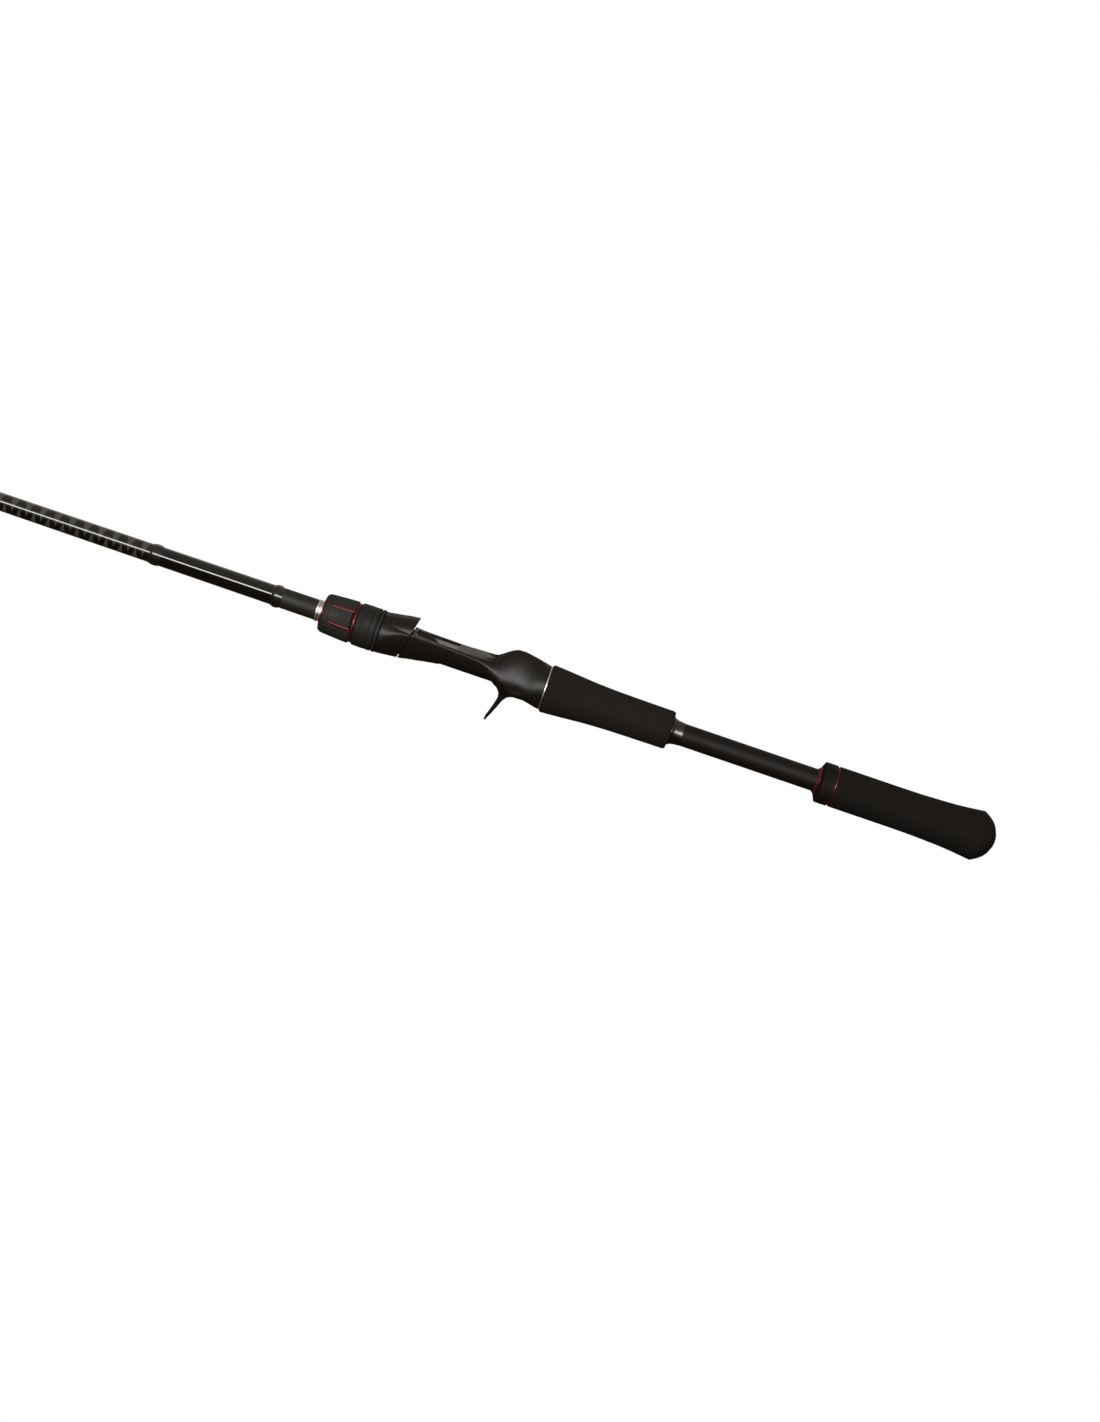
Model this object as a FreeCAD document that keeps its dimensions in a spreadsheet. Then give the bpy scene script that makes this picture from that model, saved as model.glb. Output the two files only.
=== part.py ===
import FreeCAD, Part
import Sketcher
import math
import os
import re

# Casting rod with a trigger reel seat and a split foam handle.
# Millimetres. X runs along the rod with the tip at -X and the butt at +X, Z points to the
# side that carries the reel and the guides, and the rod's centre line is the X axis.
# X = 0 is the middle of the deck that the reel's foot rests on.

SIZES = {
    # rod blank: a hollow tapered tube, measured from the deck's middle
    "tip_x": -1815.0,
    "butt_x": 315.2,
    "tip_radius": 0.95,
    "middle_from_tip": 812.0,
    "middle_radius": 3.0,
    "thick_x": -216.0,
    "thick_radius": 5.1,
    "tube_start_x": -74.0,
    "blank_butt_radius": 5.5,
    "bore_from_tip": 900.0,
    "bore_thick_radius": 4.1,
    "bore_butt_radius": 4.6,
    "tube_end_x": 311.0,
    "tube_radius": 6.3,
    # front of the handle
    "front_wrap_x": -175.1,
    "coat_x": -168.3,
    "coat_thickness": 0.12,
    "rear_wrap_x": -104.5,
    "sleeve_x": -98.2,
    "wrap_crown": 0.62,
    "sleeve_radius": 5.72,
    "front_check_x": -78.4,
    "front_check_radius": 6.13,
    "front_check_groove": 0.35,
    # reel seat
    "seat_x": -75.0,
    "seat_end_x": 54.0,
    "barrel_end_x": -20.0,
    "barrel_radius": 8.6,
    "seat_bore_radius": 7.0,
    "thread_pitch": 1.5,
    "thread_depth": 0.5,
    "thread_turns": 21,
    "deck_height": 6.7,
    "deck_front_x": -40.5,
    "deck_back_x": 25.0,
    "deck_open_x": -21.5,
    "pocket_floor_drop": 0.1,
    "rail_bottom": 1.5,
    "chin_x": -27.0,
    "chin_depth": 10.2,
    "chin_slope": 9.6,
    "top_window_front_x": -22.0,
    "top_window_back_x": 3.0,
    "top_window_half": 4.3,
    "low_window_front_x": -6.0,
    "low_window_back_x": 25.3,
    "foot_pocket_radius": 9.2,
    "foot_pocket_rise": 1.9,
    "foot_pocket_end_x": 42.0,
    "trigger_width": 9.0,
    "arbor_back_x": 27.0,
    # moving hood and its nut
    "running_gap": 0.05,
    "face_gap": 0.3,
    "hood_x": -41.25,
    "hood_edge_x": -26.2,
    "hood_slant": 14.5,
    "seat_gap": 0.8,
    "hood_back_x": -22.0,
    "hood_pocket_x": -38.0,
    "hood_pocket_radius": 10.3,
    "hood_pocket_rise": 1.3,
    "liner_thickness": 0.6,
    "nut_x": -74.2,
    "nut_front_radius": 10.7,
    "nut_back_radius": 11.9,
    "nut_trim_x": -56.9,
    "nut_trim_radius": 11.2,
    "nut_ring_radius": 10.2,
    "nut_ring_width": 0.7,
    "inlay_width": 1.1,
    "inlay_depth": 0.6,
    "inlay_front_x": -70.1,
    "panel_angle": 70.8,
    "panel_half_angle": 26.5,
    "collar_x": -55.4,
    "collar_radius": 12.1,
    "collar_groove": 0.45,
    # grips
    "rear_ring_radius": 12.55,
    "rear_ring_end_x": 54.8,
    "fore_grip_end_x": 126.8,
    "fore_check_end_x": 133.6,
    "fore_check_radius": 8.0,
    "butt_check_x": 210.9,
    "butt_check_end_x": 214.5,
    "butt_check_radius": 8.2,
    "grip_collar_x": 212.5,
    "grip_collar_end_x": 221.0,
    "grip_collar_radius": 11.58,
    "grip_ring_end_x": 221.8,
    "grip_ring_depth": 0.8,
    "rear_grip_radius": 11.6,
    "rear_grip_swell": 14.2,
    "rear_grip_swell_x": 305.2,
    "plug_radius": 5.6,
    "plug_insert": 14.0,
    # guides
    "ring_thickness": 1.3,
    "holder_wall": 0.55,
    "holder_length": 1.8,
    "leg_thickness": 0.8,
    "foot_height": 0.7,
    "foot_width": 2.2,
    "guide_wrap_rise": 1.05,
    "tip_tube_wall": 0.4,
    "tip_tube_length": 11.0,
    "tip_ring_bore": 2.2,
    "tip_ring_height": 4.6,
}

# shares of the collar's width, from the hood's side
COLLAR_GROOVES = (0.87, 0.60, 0.245)

# name: (from the tip, radius of the ring's hole, ring centre above the blank, foot length)
GUIDES = {
    "guide_1": (1290.0, 5.0, 15.0, 13.0),
    "guide_2": (1054.0, 3.9, 12.0, 12.0),
    "guide_3": (845.0, 3.1, 9.5, 11.0),
    "guide_4": (660.0, 2.3, 7.6, 10.0),
    "guide_5": (495.0, 2.2, 6.8, 10.0),
    "guide_6": (349.0, 2.2, 6.4, 9.0),
    "guide_7": (216.0, 2.2, 6.2, 9.0),
    "guide_8": (102.0, 2.2, 6.0, 9.0),
}
DOUBLE_FOOT = ("guide_1", "guide_2")

doc = FreeCAD.newDocument("casting_rod")
sheet = doc.addObject("Spreadsheet::Sheet", "Sizes")


def fill_sheet():
    cells = dict(SIZES)
    for name, (from_tip, bore, height, foot) in GUIDES.items():
        cells[name + "_from_tip"] = from_tip
        cells[name + "_bore"] = bore
        cells[name + "_height"] = height
        cells[name + "_foot"] = foot
    for row, (alias, value) in enumerate(cells.items(), start=1):
        sheet.set(f"A{row}", alias.replace("_", " "))
        sheet.set(f"B{row}", str(value))
        sheet.setAlias(f"B{row}", alias)
    doc.recompute()
    return cells


CELLS = fill_sheet()


def sized(text):
    """The expression for a size such as 'nut_x - face_gap', with each name read from the sheet."""
    return re.sub(r"[a-z]\w*_\w+", lambda word: "Sizes." + word.group() if word.group() in CELLS
                  else word.group(), str(text))


def number(text):
    result = sheet.evalExpression(sized(text))
    return float(getattr(result, "Value", result))


def bind(thing, **properties):
    """Tie each property to an expression; x, y and z are the placement's coordinates."""
    for name, text in properties.items():
        path = "Placement.Base." + name if name in ("x", "y", "z") else name
        thing.setExpression(path, sized(text))
    return thing


def blank_radius(along):
    """The blank's outer radius at an X, behind the middle joint of its two tapers."""
    taper = "(blank_butt_radius - thick_radius) / (tube_start_x - thick_x)"
    return f"(thick_radius + ({along} - thick_x) * {taper})"


def blank_radius_from_tip(name):
    """The blank's outer radius under a guide, from the guide's distance to the tip."""
    place = f"{name}_from_tip"
    tip_taper = "(middle_radius - tip_radius) / middle_from_tip"
    back_taper = "(thick_radius - middle_radius) / (thick_x - tip_x - middle_from_tip)"
    return (f"({place} < middle_from_tip ? tip_radius + {place} * {tip_taper}"
            f" : middle_radius + ({place} - middle_from_tip) * {back_taper})")


# ---------------------------------------------------------------- sketches and bodies

def new_body(label, start="0"):
    body = doc.addObject("PartDesign::Body", "Body_" + label)
    body.Label = label
    bind(body, x=start)
    return body


def new_sketch(body, plane, name):
    sketch = body.newObject("Sketcher::SketchObject", name)
    for feature in body.Origin.OriginFeatures:
        if feature.Role == plane:
            sketch.AttachmentSupport = [(feature, "")]
    sketch.MapMode = "FlatFace"
    return sketch


def counter_clockwise_arc(start, end, radius):
    """An arc whose middle lies left of the way from start to end for a radius above zero."""
    chord = end - start
    half = chord.Length / 2
    rise = abs(radius) - math.sqrt(radius * radius - half * half)
    left = FreeCAD.Vector(-chord.y, chord.x, 0).normalize()
    side = 1 if radius > 0 else -1
    middle = (start + end) / 2 + left * rise * side
    if side > 0:
        return Part.Arc(end, middle, start)
    return Part.Arc(start, middle, end)


def outline(sketch, corners):
    """A closed outline. A corner is (across, up), or (across, up, radius) where an arc leads on."""
    points = [FreeCAD.Vector(number(corner[0]), number(corner[1]), 0) for corner in corners]
    ends = []
    for index, corner in enumerate(corners):
        start = points[index]
        end = points[(index + 1) % len(points)]
        if len(corner) == 2:
            edge = sketch.addGeometry(Part.LineSegment(start, end), False)
            ends.append((edge, 1, 2))
            continue
        radius = number(corner[2])
        edge = sketch.addGeometry(counter_clockwise_arc(start, end, radius), False)
        ends.append((edge, 2, 1) if radius > 0 else (edge, 1, 2))
        bent = sketch.addConstraint(Sketcher.Constraint("Radius", edge, abs(radius)))
        sketch.setExpression(f"Constraints[{bent}]", sized(f"abs({corner[2]})"))
    for index, corner in enumerate(corners):
        edge, first, _ = ends[index]
        before, _, last = ends[index - 1]
        sketch.addConstraint(Sketcher.Constraint("Coincident", before, last, edge, first))
        for kind, text, value in (("DistanceX", corner[0], points[index].x),
                                  ("DistanceY", corner[1], points[index].y)):
            rule = sketch.addConstraint(Sketcher.Constraint(kind, -1, 1, edge, first, value))
            sketch.setExpression(f"Constraints[{rule}]", sized(text))


def turned(label, start, corners):
    """A piece turned about the rod's centre line; its outline starts at its own front end."""
    body = new_body(label, start)
    sketch = new_sketch(body, "XY_Plane", "Outline_" + label)
    outline(sketch, corners)
    turn = body.newObject("PartDesign::Revolution", "Turn_" + label)
    turn.Profile = sketch
    turn.ReferenceAxis = (sketch, ["H_Axis"])
    turn.Angle = 360
    return body


def ring(label, start, end, inner, outer):
    """A plain turned sleeve between two stations, with its front and back inner radii."""
    front, back = inner
    length = f"({end}) - ({start})"
    return turned(label, start, [("0", front), (length, back), (length, outer), ("0", outer)])


# ---------------------------------------------------------------- Part primitives

def cylinder(name, start, length, radius, height="0"):
    """A cylinder along X from start, with its axis at this height above the centre line."""
    solid = doc.addObject("Part::Cylinder", name)
    solid.Placement.Rotation = FreeCAD.Rotation(FreeCAD.Vector(0, 1, 0), 90)
    return bind(solid, Radius=radius, Height=length, x=start, z=height)


def block(name, start, length, width, low, height):
    """A box along X, centred across the rod, from its lowest height up."""
    solid = doc.addObject("Part::Box", name)
    return bind(solid, Length=length, Width=width, Height=height,
                x=start, y=f"-({width}) / 2", z=low)


def slanted_block(name, edge, forward):
    """A large box whose face is the slanted joint of hood and seat; it removes one side."""
    reach = 60
    solid = doc.addObject("Part::Box", name)
    solid.Placement.Rotation = FreeCAD.Rotation(FreeCAD.Vector(0, 1, 0), number("hood_slant"))
    back = f"-{reach} * cos(hood_slant * 1 deg)" if forward else "0"
    down = f"{reach} * sin(hood_slant * 1 deg)" if forward else "0"
    return bind(solid, Length=reach, Width=2 * reach, Height=2 * reach, y=-reach,
                x=f"{edge} + {back} - {reach} * sin(hood_slant * 1 deg)",
                z=f"{down} - {reach} * cos(hood_slant * 1 deg)")


def loft(name, sections):
    """A smooth body through circles, each (x, centre height, radius)."""
    circles = []
    for index, (along, height, radius) in enumerate(sections):
        circle = doc.addObject("Part::Circle", f"{name}_section_{index}")
        circle.Placement.Rotation = FreeCAD.Rotation(FreeCAD.Vector(0, 1, 0), 90)
        circles.append(bind(circle, Radius=radius, x=along, z=height))
    body = doc.addObject("Part::Loft", name)
    body.Sections = circles
    body.Solid = True
    body.Ruled = False
    return body


def joined(name, pieces):
    fuse = doc.addObject("Part::MultiFuse", name)
    fuse.Shapes = pieces
    return fuse


def cut(name, base, tools):
    result = doc.addObject("Part::Cut", name)
    result.Base = base
    result.Tool = tools[0] if len(tools) == 1 else joined(name + "_tools", tools)
    return result


# ---------------------------------------------------------------- blank and its trim

def make_blank():
    length = "tube_end_x - tip_x"
    thick = "thick_x - tip_x"
    return turned("blank", "tip_x", [
        ("0", "0"),
        ("bore_from_tip", "0"),
        (thick, "bore_thick_radius"),
        (length, "bore_butt_radius"),
        (length, "blank_butt_radius"),
        ("tube_start_x - tip_x", "blank_butt_radius"),
        (thick, "thick_radius"),
        ("middle_from_tip", "middle_radius"),
        ("0", "tip_radius"),
    ])


def make_wrap(label, start, end):
    """A thread wrap under a crowned coat of varnish."""
    length = f"({end}) - ({start})"
    front = blank_radius(start)
    back = blank_radius(end)
    crown = f"({front} + wrap_crown)"
    shoulder = f"({length}) / 4"
    return turned(label, start, [
        ("0", front),
        (length, back),
        (length, f"{back} + 0.15"),
        (f"({length}) - {shoulder}", crown),
        (shoulder, crown),
        ("0", f"{front} + 0.15"),
    ])


def make_handle_front():
    coat = turned("blank_coat", "coat_x", [
        ("0", blank_radius("coat_x")),
        ("rear_wrap_x - coat_x", blank_radius("rear_wrap_x")),
        ("rear_wrap_x - coat_x", blank_radius("rear_wrap_x") + " + coat_thickness"),
        ("0", blank_radius("coat_x") + " + coat_thickness"),
    ])
    sleeve = ring("blank_sleeve", "sleeve_x", "front_check_x",
                  (blank_radius("sleeve_x"), blank_radius("front_check_x")), "sleeve_radius")
    width = "(seat_x - front_check_x)"
    check = turned("front_check", "front_check_x", [
        ("0", blank_radius("front_check_x")),
        (width, blank_radius("seat_x")),
        (width, "front_check_radius"),
        (f"{width} * 0.65", "front_check_radius"),
        (f"{width} * 0.5", "front_check_radius - front_check_groove"),
        (f"{width} * 0.35", "front_check_radius"),
        ("0", "front_check_radius"),
    ])
    return [
        make_wrap("trim_wrap_front", "front_wrap_x", "coat_x"),
        coat,
        make_wrap("trim_wrap_rear", "rear_wrap_x", "sleeve_x"),
        sleeve,
        check,
    ]


def make_handle_tube():
    length = "tube_end_x - tube_start_x"
    return turned("handle_tube", "tube_start_x", [
        ("0", "blank_butt_radius"),
        (length, "blank_butt_radius"),
        (length, "tube_radius"),
        ("0", "tube_radius"),
    ])


# ---------------------------------------------------------------- reel seat

def make_barrel():
    """The seat's threaded barrel. Each turn of thread is a ring groove."""
    length = "barrel_end_x - seat_x"
    body = turned("seat_barrel", "seat_x", [
        ("0", "seat_bore_radius"),
        (length, "seat_bore_radius"),
        (length, "barrel_radius"),
        ("0.6", "barrel_radius"),
        ("0", "barrel_radius - 0.6"),
    ])
    doc.recompute()
    groove_sketch = new_sketch(body, "XY_Plane", "Thread_groove")
    outline(groove_sketch, [
        ("thread_pitch", "barrel_radius + 0.1"),
        ("thread_pitch * 1.5", "barrel_radius - thread_depth"),
        ("thread_pitch * 2 - 0.2", "barrel_radius + 0.1"),
    ])
    groove = body.newObject("PartDesign::Groove", "Thread_first_turn")
    groove.Profile = groove_sketch
    groove.ReferenceAxis = (groove_sketch, ["H_Axis"])
    groove.Angle = 360
    doc.recompute()
    turns = body.newObject("PartDesign::LinearPattern", "Thread_turns")
    turns.Originals = [groove]
    turns.Direction = (groove_sketch, ["H_Axis"])
    turns.Occurrences = int(number("thread_turns"))
    bind(turns, Length="thread_pitch * (thread_turns - 1)")
    body.Tip = turns
    return body


def make_trigger():
    """The finger hook below the seat, a curved blade that leans towards the tip."""
    body = new_body("seat_trigger", "25.3")
    sketch = new_sketch(body, "XZ_Plane", "Trigger_side")
    outline(sketch, [
        ("0", "-5.5"),
        ("4.2", "-8.6", "-8"),
        ("6.1", "-13.2", "-45"),
        ("2.3", "-27.6"),
        ("3.2", "-28.1", "45"),
        ("8.0", "-17.4", "9"),
        ("17.5", "-9.5"),
        ("17.5", "-5.5"),
    ])
    pad = body.newObject("PartDesign::Pad", "Trigger_blade")
    pad.Profile = sketch
    pad.Midplane = True
    bind(pad, Length="trigger_width")
    return body


def make_reel_seat():
    shell = loft("seat_shell", [
        ("-36", "0", "10.3"),
        ("-27", "0", "10.2"),
        ("-16", "0.2", "9.6"),
        ("-4", "0.3", "9.3"),
        ("10", "0.3", "9.3"),
        ("20", "0.5", "9.7"),
        ("27", "1.1", "11.4"),
        ("34.6", "2.0", "13.6"),
        ("43.5", "2.5", "12.5"),
        ("50", "0.9", "12.7"),
        ("seat_end_x", "-0.1", "12.4"),
    ])
    shell_front = slanted_block("seat_shell_front", "hood_edge_x + seat_gap", True)
    trimmed = cut("seat_shell_trimmed", shell, [shell_front])
    solid = joined("seat_solid", [trimmed, make_barrel(), make_trigger()])
    seat_length = "seat_end_x - seat_x + 2"
    pocket = doc.addObject("Part::Common", "foot_pocket")
    pocket.Base = cylinder("foot_pocket_round", "deck_back_x - 1",
                           "foot_pocket_end_x - deck_back_x + 1",
                           "foot_pocket_radius", "foot_pocket_rise")
    pocket.Tool = block("foot_pocket_top", "deck_back_x",
                        "foot_pocket_end_x - deck_back_x", "30",
                        "deck_height - pocket_floor_drop", "20")
    chin_reach = 20
    chin = doc.addObject("Part::Box", "chin_cut")
    chin.Placement.Rotation = FreeCAD.Rotation(FreeCAD.Vector(0, 1, 0), -number("chin_slope"))
    bind(chin, Length="low_window_front_x - chin_x + 4", Width=2 * chin_reach, Height=chin_reach,
         x=f"chin_x + {chin_reach} * sin(chin_slope * 1 deg)", y=-chin_reach,
         z=f"-chin_depth - {chin_reach} * cos(chin_slope * 1 deg)")
    seat = cut("reel_seat", solid, [
        chin,
        cylinder("seat_bore", "seat_x - 1", seat_length, "seat_bore_radius"),
        block("deck_cut", "deck_open_x", "deck_back_x - deck_open_x", "40",
              "deck_height", "20"),
        block("deck_under_hood", "deck_front_x", "deck_open_x - deck_front_x", "40",
              "deck_height - pocket_floor_drop", "20"),
        block("top_window", "top_window_front_x", "top_window_back_x - top_window_front_x",
              "2 * top_window_half", "0", "20"),
        block("low_window", "low_window_front_x", "low_window_back_x - low_window_front_x",
              "40", "-20", "20 - rail_bottom"),
        pocket,
    ])
    arbors = [
        ring("front_arbor", "seat_x + 1", "top_window_front_x - 2",
             ("tube_radius", "tube_radius"), "seat_bore_radius"),
        ring("rear_arbor", "arbor_back_x", "seat_end_x - 2",
             ("tube_radius", "tube_radius"), "seat_bore_radius"),
    ]
    return [seat] + arbors


# ---------------------------------------------------------------- hood and nut

def make_hood():
    outside = loft("hood_outside", [
        ("hood_x", "0", "11.6"),
        ("hood_x + 8", "0.6", "12.0"),
        ("hood_back_x", "1.3", "12.4"),
    ])
    length = "hood_back_x - hood_x + 2"
    pocket_length = "hood_back_x - hood_pocket_x + 1"
    pocket = doc.addObject("Part::Common", "hood_pocket")
    pocket.Base = cylinder("hood_pocket_round", "hood_pocket_x", pocket_length,
                           "hood_pocket_radius", "hood_pocket_rise")
    pocket.Tool = block("hood_pocket_top", "hood_pocket_x", pocket_length, "30",
                        "deck_height - 0.7", "20")
    hood = cut("hood", outside, [
        cylinder("hood_bore", "hood_x - 1", length, "barrel_radius + running_gap"),
        slanted_block("hood_edge", "hood_edge_x", False),
        pocket,
    ])
    liner_length = "hood_edge_x + 1 - hood_pocket_x"
    liner_ring = cut("liner_ring",
                     cylinder("liner_outside", "hood_pocket_x", liner_length,
                              "hood_pocket_radius", "hood_pocket_rise"),
                     [cylinder("liner_inside", "hood_pocket_x - 1", liner_length + " + 2",
                               "hood_pocket_radius - liner_thickness", "hood_pocket_rise")])
    liner = doc.addObject("Part::Common", "hood_liner")
    liner.Base = liner_ring
    liner.Tool = block("liner_top", "hood_pocket_x", liner_length, "30",
                       "deck_height + 0.3", "20")
    return [hood, liner]


def make_nut():
    bore = "barrel_radius + running_gap"
    length = "(nut_trim_x - nut_x)"
    blank_grip = turned("nut_grip_turned", "nut_x", [
        ("0", bore),
        (length, bore),
        (length, "nut_back_radius - 0.5"),
        (f"{length} - 1.2", "nut_back_radius"),
        (f"{length} * 0.25", "nut_front_radius + 0.35"),
        ("0", "nut_front_radius - 0.5"),
    ])
    inlay_length = "nut_trim_x - inlay_front_x"
    strips = []
    for panel in range(3):
        for side in (-1, 1):
            tag = f"{panel}_{'low' if side < 0 else 'high'}"
            strip = block("inlay_" + tag, "inlay_front_x", inlay_length, "inlay_width",
                          "nut_back_radius - 0.5 - inlay_depth", "inlay_depth")
            turn = doc.addObject("Part::Compound", "inlay_turn_" + tag)
            turn.Links = [strip]
            angle = number("panel_angle") + 120 * panel + side * number("panel_half_angle")
            turn.Placement.Rotation = FreeCAD.Rotation(FreeCAD.Vector(1, 0, 0), angle)
            strips.append(turn)
    inlays = doc.addObject("Part::Compound", "nut_inlays")
    inlays.Links = strips
    grip = cut("nut_grip", blank_grip, [inlays])

    front_ring = ring("nut_front_ring", "nut_x - nut_ring_width", "nut_x",
                      ("barrel_radius + 0.5", "barrel_radius + 0.5"), "nut_ring_radius")
    trim = ring("nut_trim_ring", "nut_trim_x", "collar_x", (bore, bore), "nut_trim_radius")
    width = "(hood_x - face_gap - collar_x)"
    corners = [("0", bore), (width, bore), (width, "collar_radius - 0.1")]
    for place in COLLAR_GROOVES:
        corners += [
            (f"{width} * {place} + 0.35", "collar_radius"),
            (f"{width} * {place}", "collar_radius - collar_groove"),
            (f"{width} * {place} - 0.35", "collar_radius"),
        ]
    corners.append(("0", "collar_radius - 0.3"))
    collar = turned("nut_collar", "collar_x", corners)
    return [grip, inlays, front_ring, trim, collar]


# ---------------------------------------------------------------- grips

def make_grips():
    tube = "tube_radius"
    seat_ring = ring("seat_rear_ring", "seat_end_x", "rear_ring_end_x", (tube, tube),
                     "rear_ring_radius")
    fore_length = "(fore_grip_end_x - rear_ring_end_x)"
    fore = turned("fore_grip", "rear_ring_end_x", [
        ("0", tube),
        (fore_length, tube),
        (fore_length, "9.4"),
        (f"{fore_length} - 1.4", "10.8"),
        ("41", "11.1", "-190"),
        ("8", "13.15"),
        ("1.4", "13.55"),
        ("0", "12.6"),
    ])
    fore_check = turned("fore_grip_check", "fore_grip_end_x", [
        ("0", tube),
        ("fore_check_end_x - fore_grip_end_x", tube),
        ("fore_check_end_x - fore_grip_end_x", f"{tube} + 0.15", "-10"),
        ("0.6", "fore_check_radius"),
        ("0", "fore_check_radius"),
    ])
    check_length = "(butt_check_end_x - butt_check_x)"
    butt_check = turned("butt_check", "butt_check_x", [
        ("0", tube),
        (check_length, tube),
        (check_length, "butt_check_radius"),
        ("2.2", "butt_check_radius"),
        ("0.5", "butt_check_radius - 1"),
        ("0", "butt_check_radius - 1.3"),
    ])
    collar_length = "(grip_collar_end_x - grip_collar_x)"
    seat_step = "(butt_check_end_x - grip_collar_x)"
    grip_collar = turned("rear_grip_collar", "grip_collar_x", [
        ("0", "butt_check_radius"),
        (seat_step, "butt_check_radius"),
        (seat_step, tube),
        (collar_length, tube),
        (collar_length, "grip_collar_radius"),
        ("1.5", "grip_collar_radius - 0.05"),
        ("0", "butt_check_radius + 0.1"),
    ])
    ring_width = "(grip_ring_end_x - grip_collar_end_x)"
    grip_ring = turned("rear_grip_ring", "grip_collar_end_x", [
        ("0", tube),
        (ring_width, tube),
        (ring_width, "rear_grip_radius"),
        (f"{ring_width} * 0.65", "rear_grip_radius - grip_ring_depth"),
        (f"{ring_width} * 0.35", "rear_grip_radius - grip_ring_depth"),
        ("0", "grip_collar_radius"),
    ])
    grip_start = "grip_ring_end_x"
    end = f"(butt_x - {grip_start})"
    swell = f"(rear_grip_swell_x - {grip_start})"
    plug_start = "(tube_end_x - grip_ring_end_x)"
    rear = turned("rear_grip", grip_start, [
        ("0", tube),
        (plug_start, tube),
        (f"{plug_start} + 1", tube),
        (f"{plug_start} + 1", "plug_radius"),
        (f"{end} - 1.35", "plug_radius"),
        (f"{end} - 2.1", "7.5"),
        (f"{end} - 4", "10.1"),
        (f"{swell} + 3.2", "12.2"),
        (swell, "rear_grip_swell", "-90"),
        (f"{swell} - 26", "12.2", "-150"),
        (f"{swell} - 46", "rear_grip_radius"),
        ("0", "rear_grip_radius + 0.02"),
    ])
    plug_length = "(butt_x - tube_end_x)"
    plug = turned("butt_plug", "tube_end_x - plug_insert", [
        ("0", "0"),
        (f"plug_insert + {plug_length}", "0"),
        (f"plug_insert + {plug_length} - 0.6", "plug_radius * 0.75"),
        (f"plug_insert + {plug_length} - 1.35", "plug_radius"),
        ("plug_insert + 1", "plug_radius"),
        ("plug_insert + 1", "tube_radius - 0.02"),
        ("plug_insert", "tube_radius - 0.02"),
        ("plug_insert", "bore_butt_radius - 0.05"),
        ("0", "bore_butt_radius - 0.1"),
    ])
    return [seat_ring, fore, fore_check, butt_check, grip_collar, grip_ring, rear, plug]


# ---------------------------------------------------------------- guides

def guide_ring(name, along, height, bore):
    solid = doc.addObject("Part::Torus", name)
    solid.Placement.Rotation = FreeCAD.Rotation(FreeCAD.Vector(0, 1, 0), 90)
    return bind(solid, Radius1=f"{bore} + ring_thickness / 2", Radius2="ring_thickness / 2",
                x=along, z=height)


def guide_leg(name, along, foot_end, low, high, spread):
    """A flat strut that widens from the foot up to the ring and leans into the ring's plane."""
    leg = doc.addObject("Part::Wedge", name)
    leg.Placement.Rotation = FreeCAD.Rotation(FreeCAD.Vector(1, 0, 0), 90)
    thick = "leg_thickness / 2"
    return bind(leg, Xmin=f"{foot_end} - {thick}", Xmax=f"{foot_end} + {thick}",
                X2min=f"-{thick}", X2max=thick,
                Ymin="0", Ymax=f"({high}) - ({low})", Zmin="-foot_width / 2",
                Zmax="foot_width / 2", Z2min=f"-({spread})", Z2max=spread,
                x=along, z=low)


def make_guide(name):
    blank = blank_radius_from_tip(name)
    along = f"(tip_x + {name}_from_tip)"
    bore = f"{name}_bore"
    height = f"({blank} + {name}_height)"
    holder_radius = f"({bore} + ring_thickness)"
    outside = f"({holder_radius} + holder_wall)"
    sides = (1, -1) if name in DOUBLE_FOOT else (1,)
    legs = []
    feet = []
    for side in sides:
        tag = f"{name}_{'front' if side < 0 else 'back'}"
        foot_end = "3.2" if side > 0 else "-3.2"
        start = f"{along} + 2.4" if side > 0 else f"{along} - 2.4 - {name}_foot"
        feet.append(block(tag + "_foot", start, f"{name}_foot", "foot_width", blank,
                          "foot_height"))
        low = f"{blank} + foot_height / 2"
        legs.append(guide_leg(tag + "_leg", along, foot_end, low, height,
                              f"{outside} * 0.96"))
    holder = cylinder(name + "_holder", f"{along} - holder_length / 2", "holder_length",
                      outside, height)
    hole = cylinder(name + "_hole", f"{along} - 12", "24", holder_radius, height)
    frame = cut(name + "_frame", joined(name + "_solid", [holder] + legs + feet), [hole])
    wraps = []
    for side, foot in zip(sides, feet):
        tag = f"{name}_{'front' if side < 0 else 'back'}"
        start = f"{along} + 4.6" if side > 0 else f"{along} - 4.6 - {name}_foot"
        coat = cylinder(tag + "_coat", start, f"{name}_foot", f"{blank} + guide_wrap_rise")
        core = cylinder(tag + "_core", f"{start} - 1", f"{name}_foot + 2", f"{blank} + 0.1")
        wraps.append(cut(tag + "_wrapping", coat, [core, foot]))
    wrap = doc.addObject("Part::Compound", name + "_wrap")
    wrap.Links = wraps
    return [frame, guide_ring(name + "_ring", along, height, bore), wrap]


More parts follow.
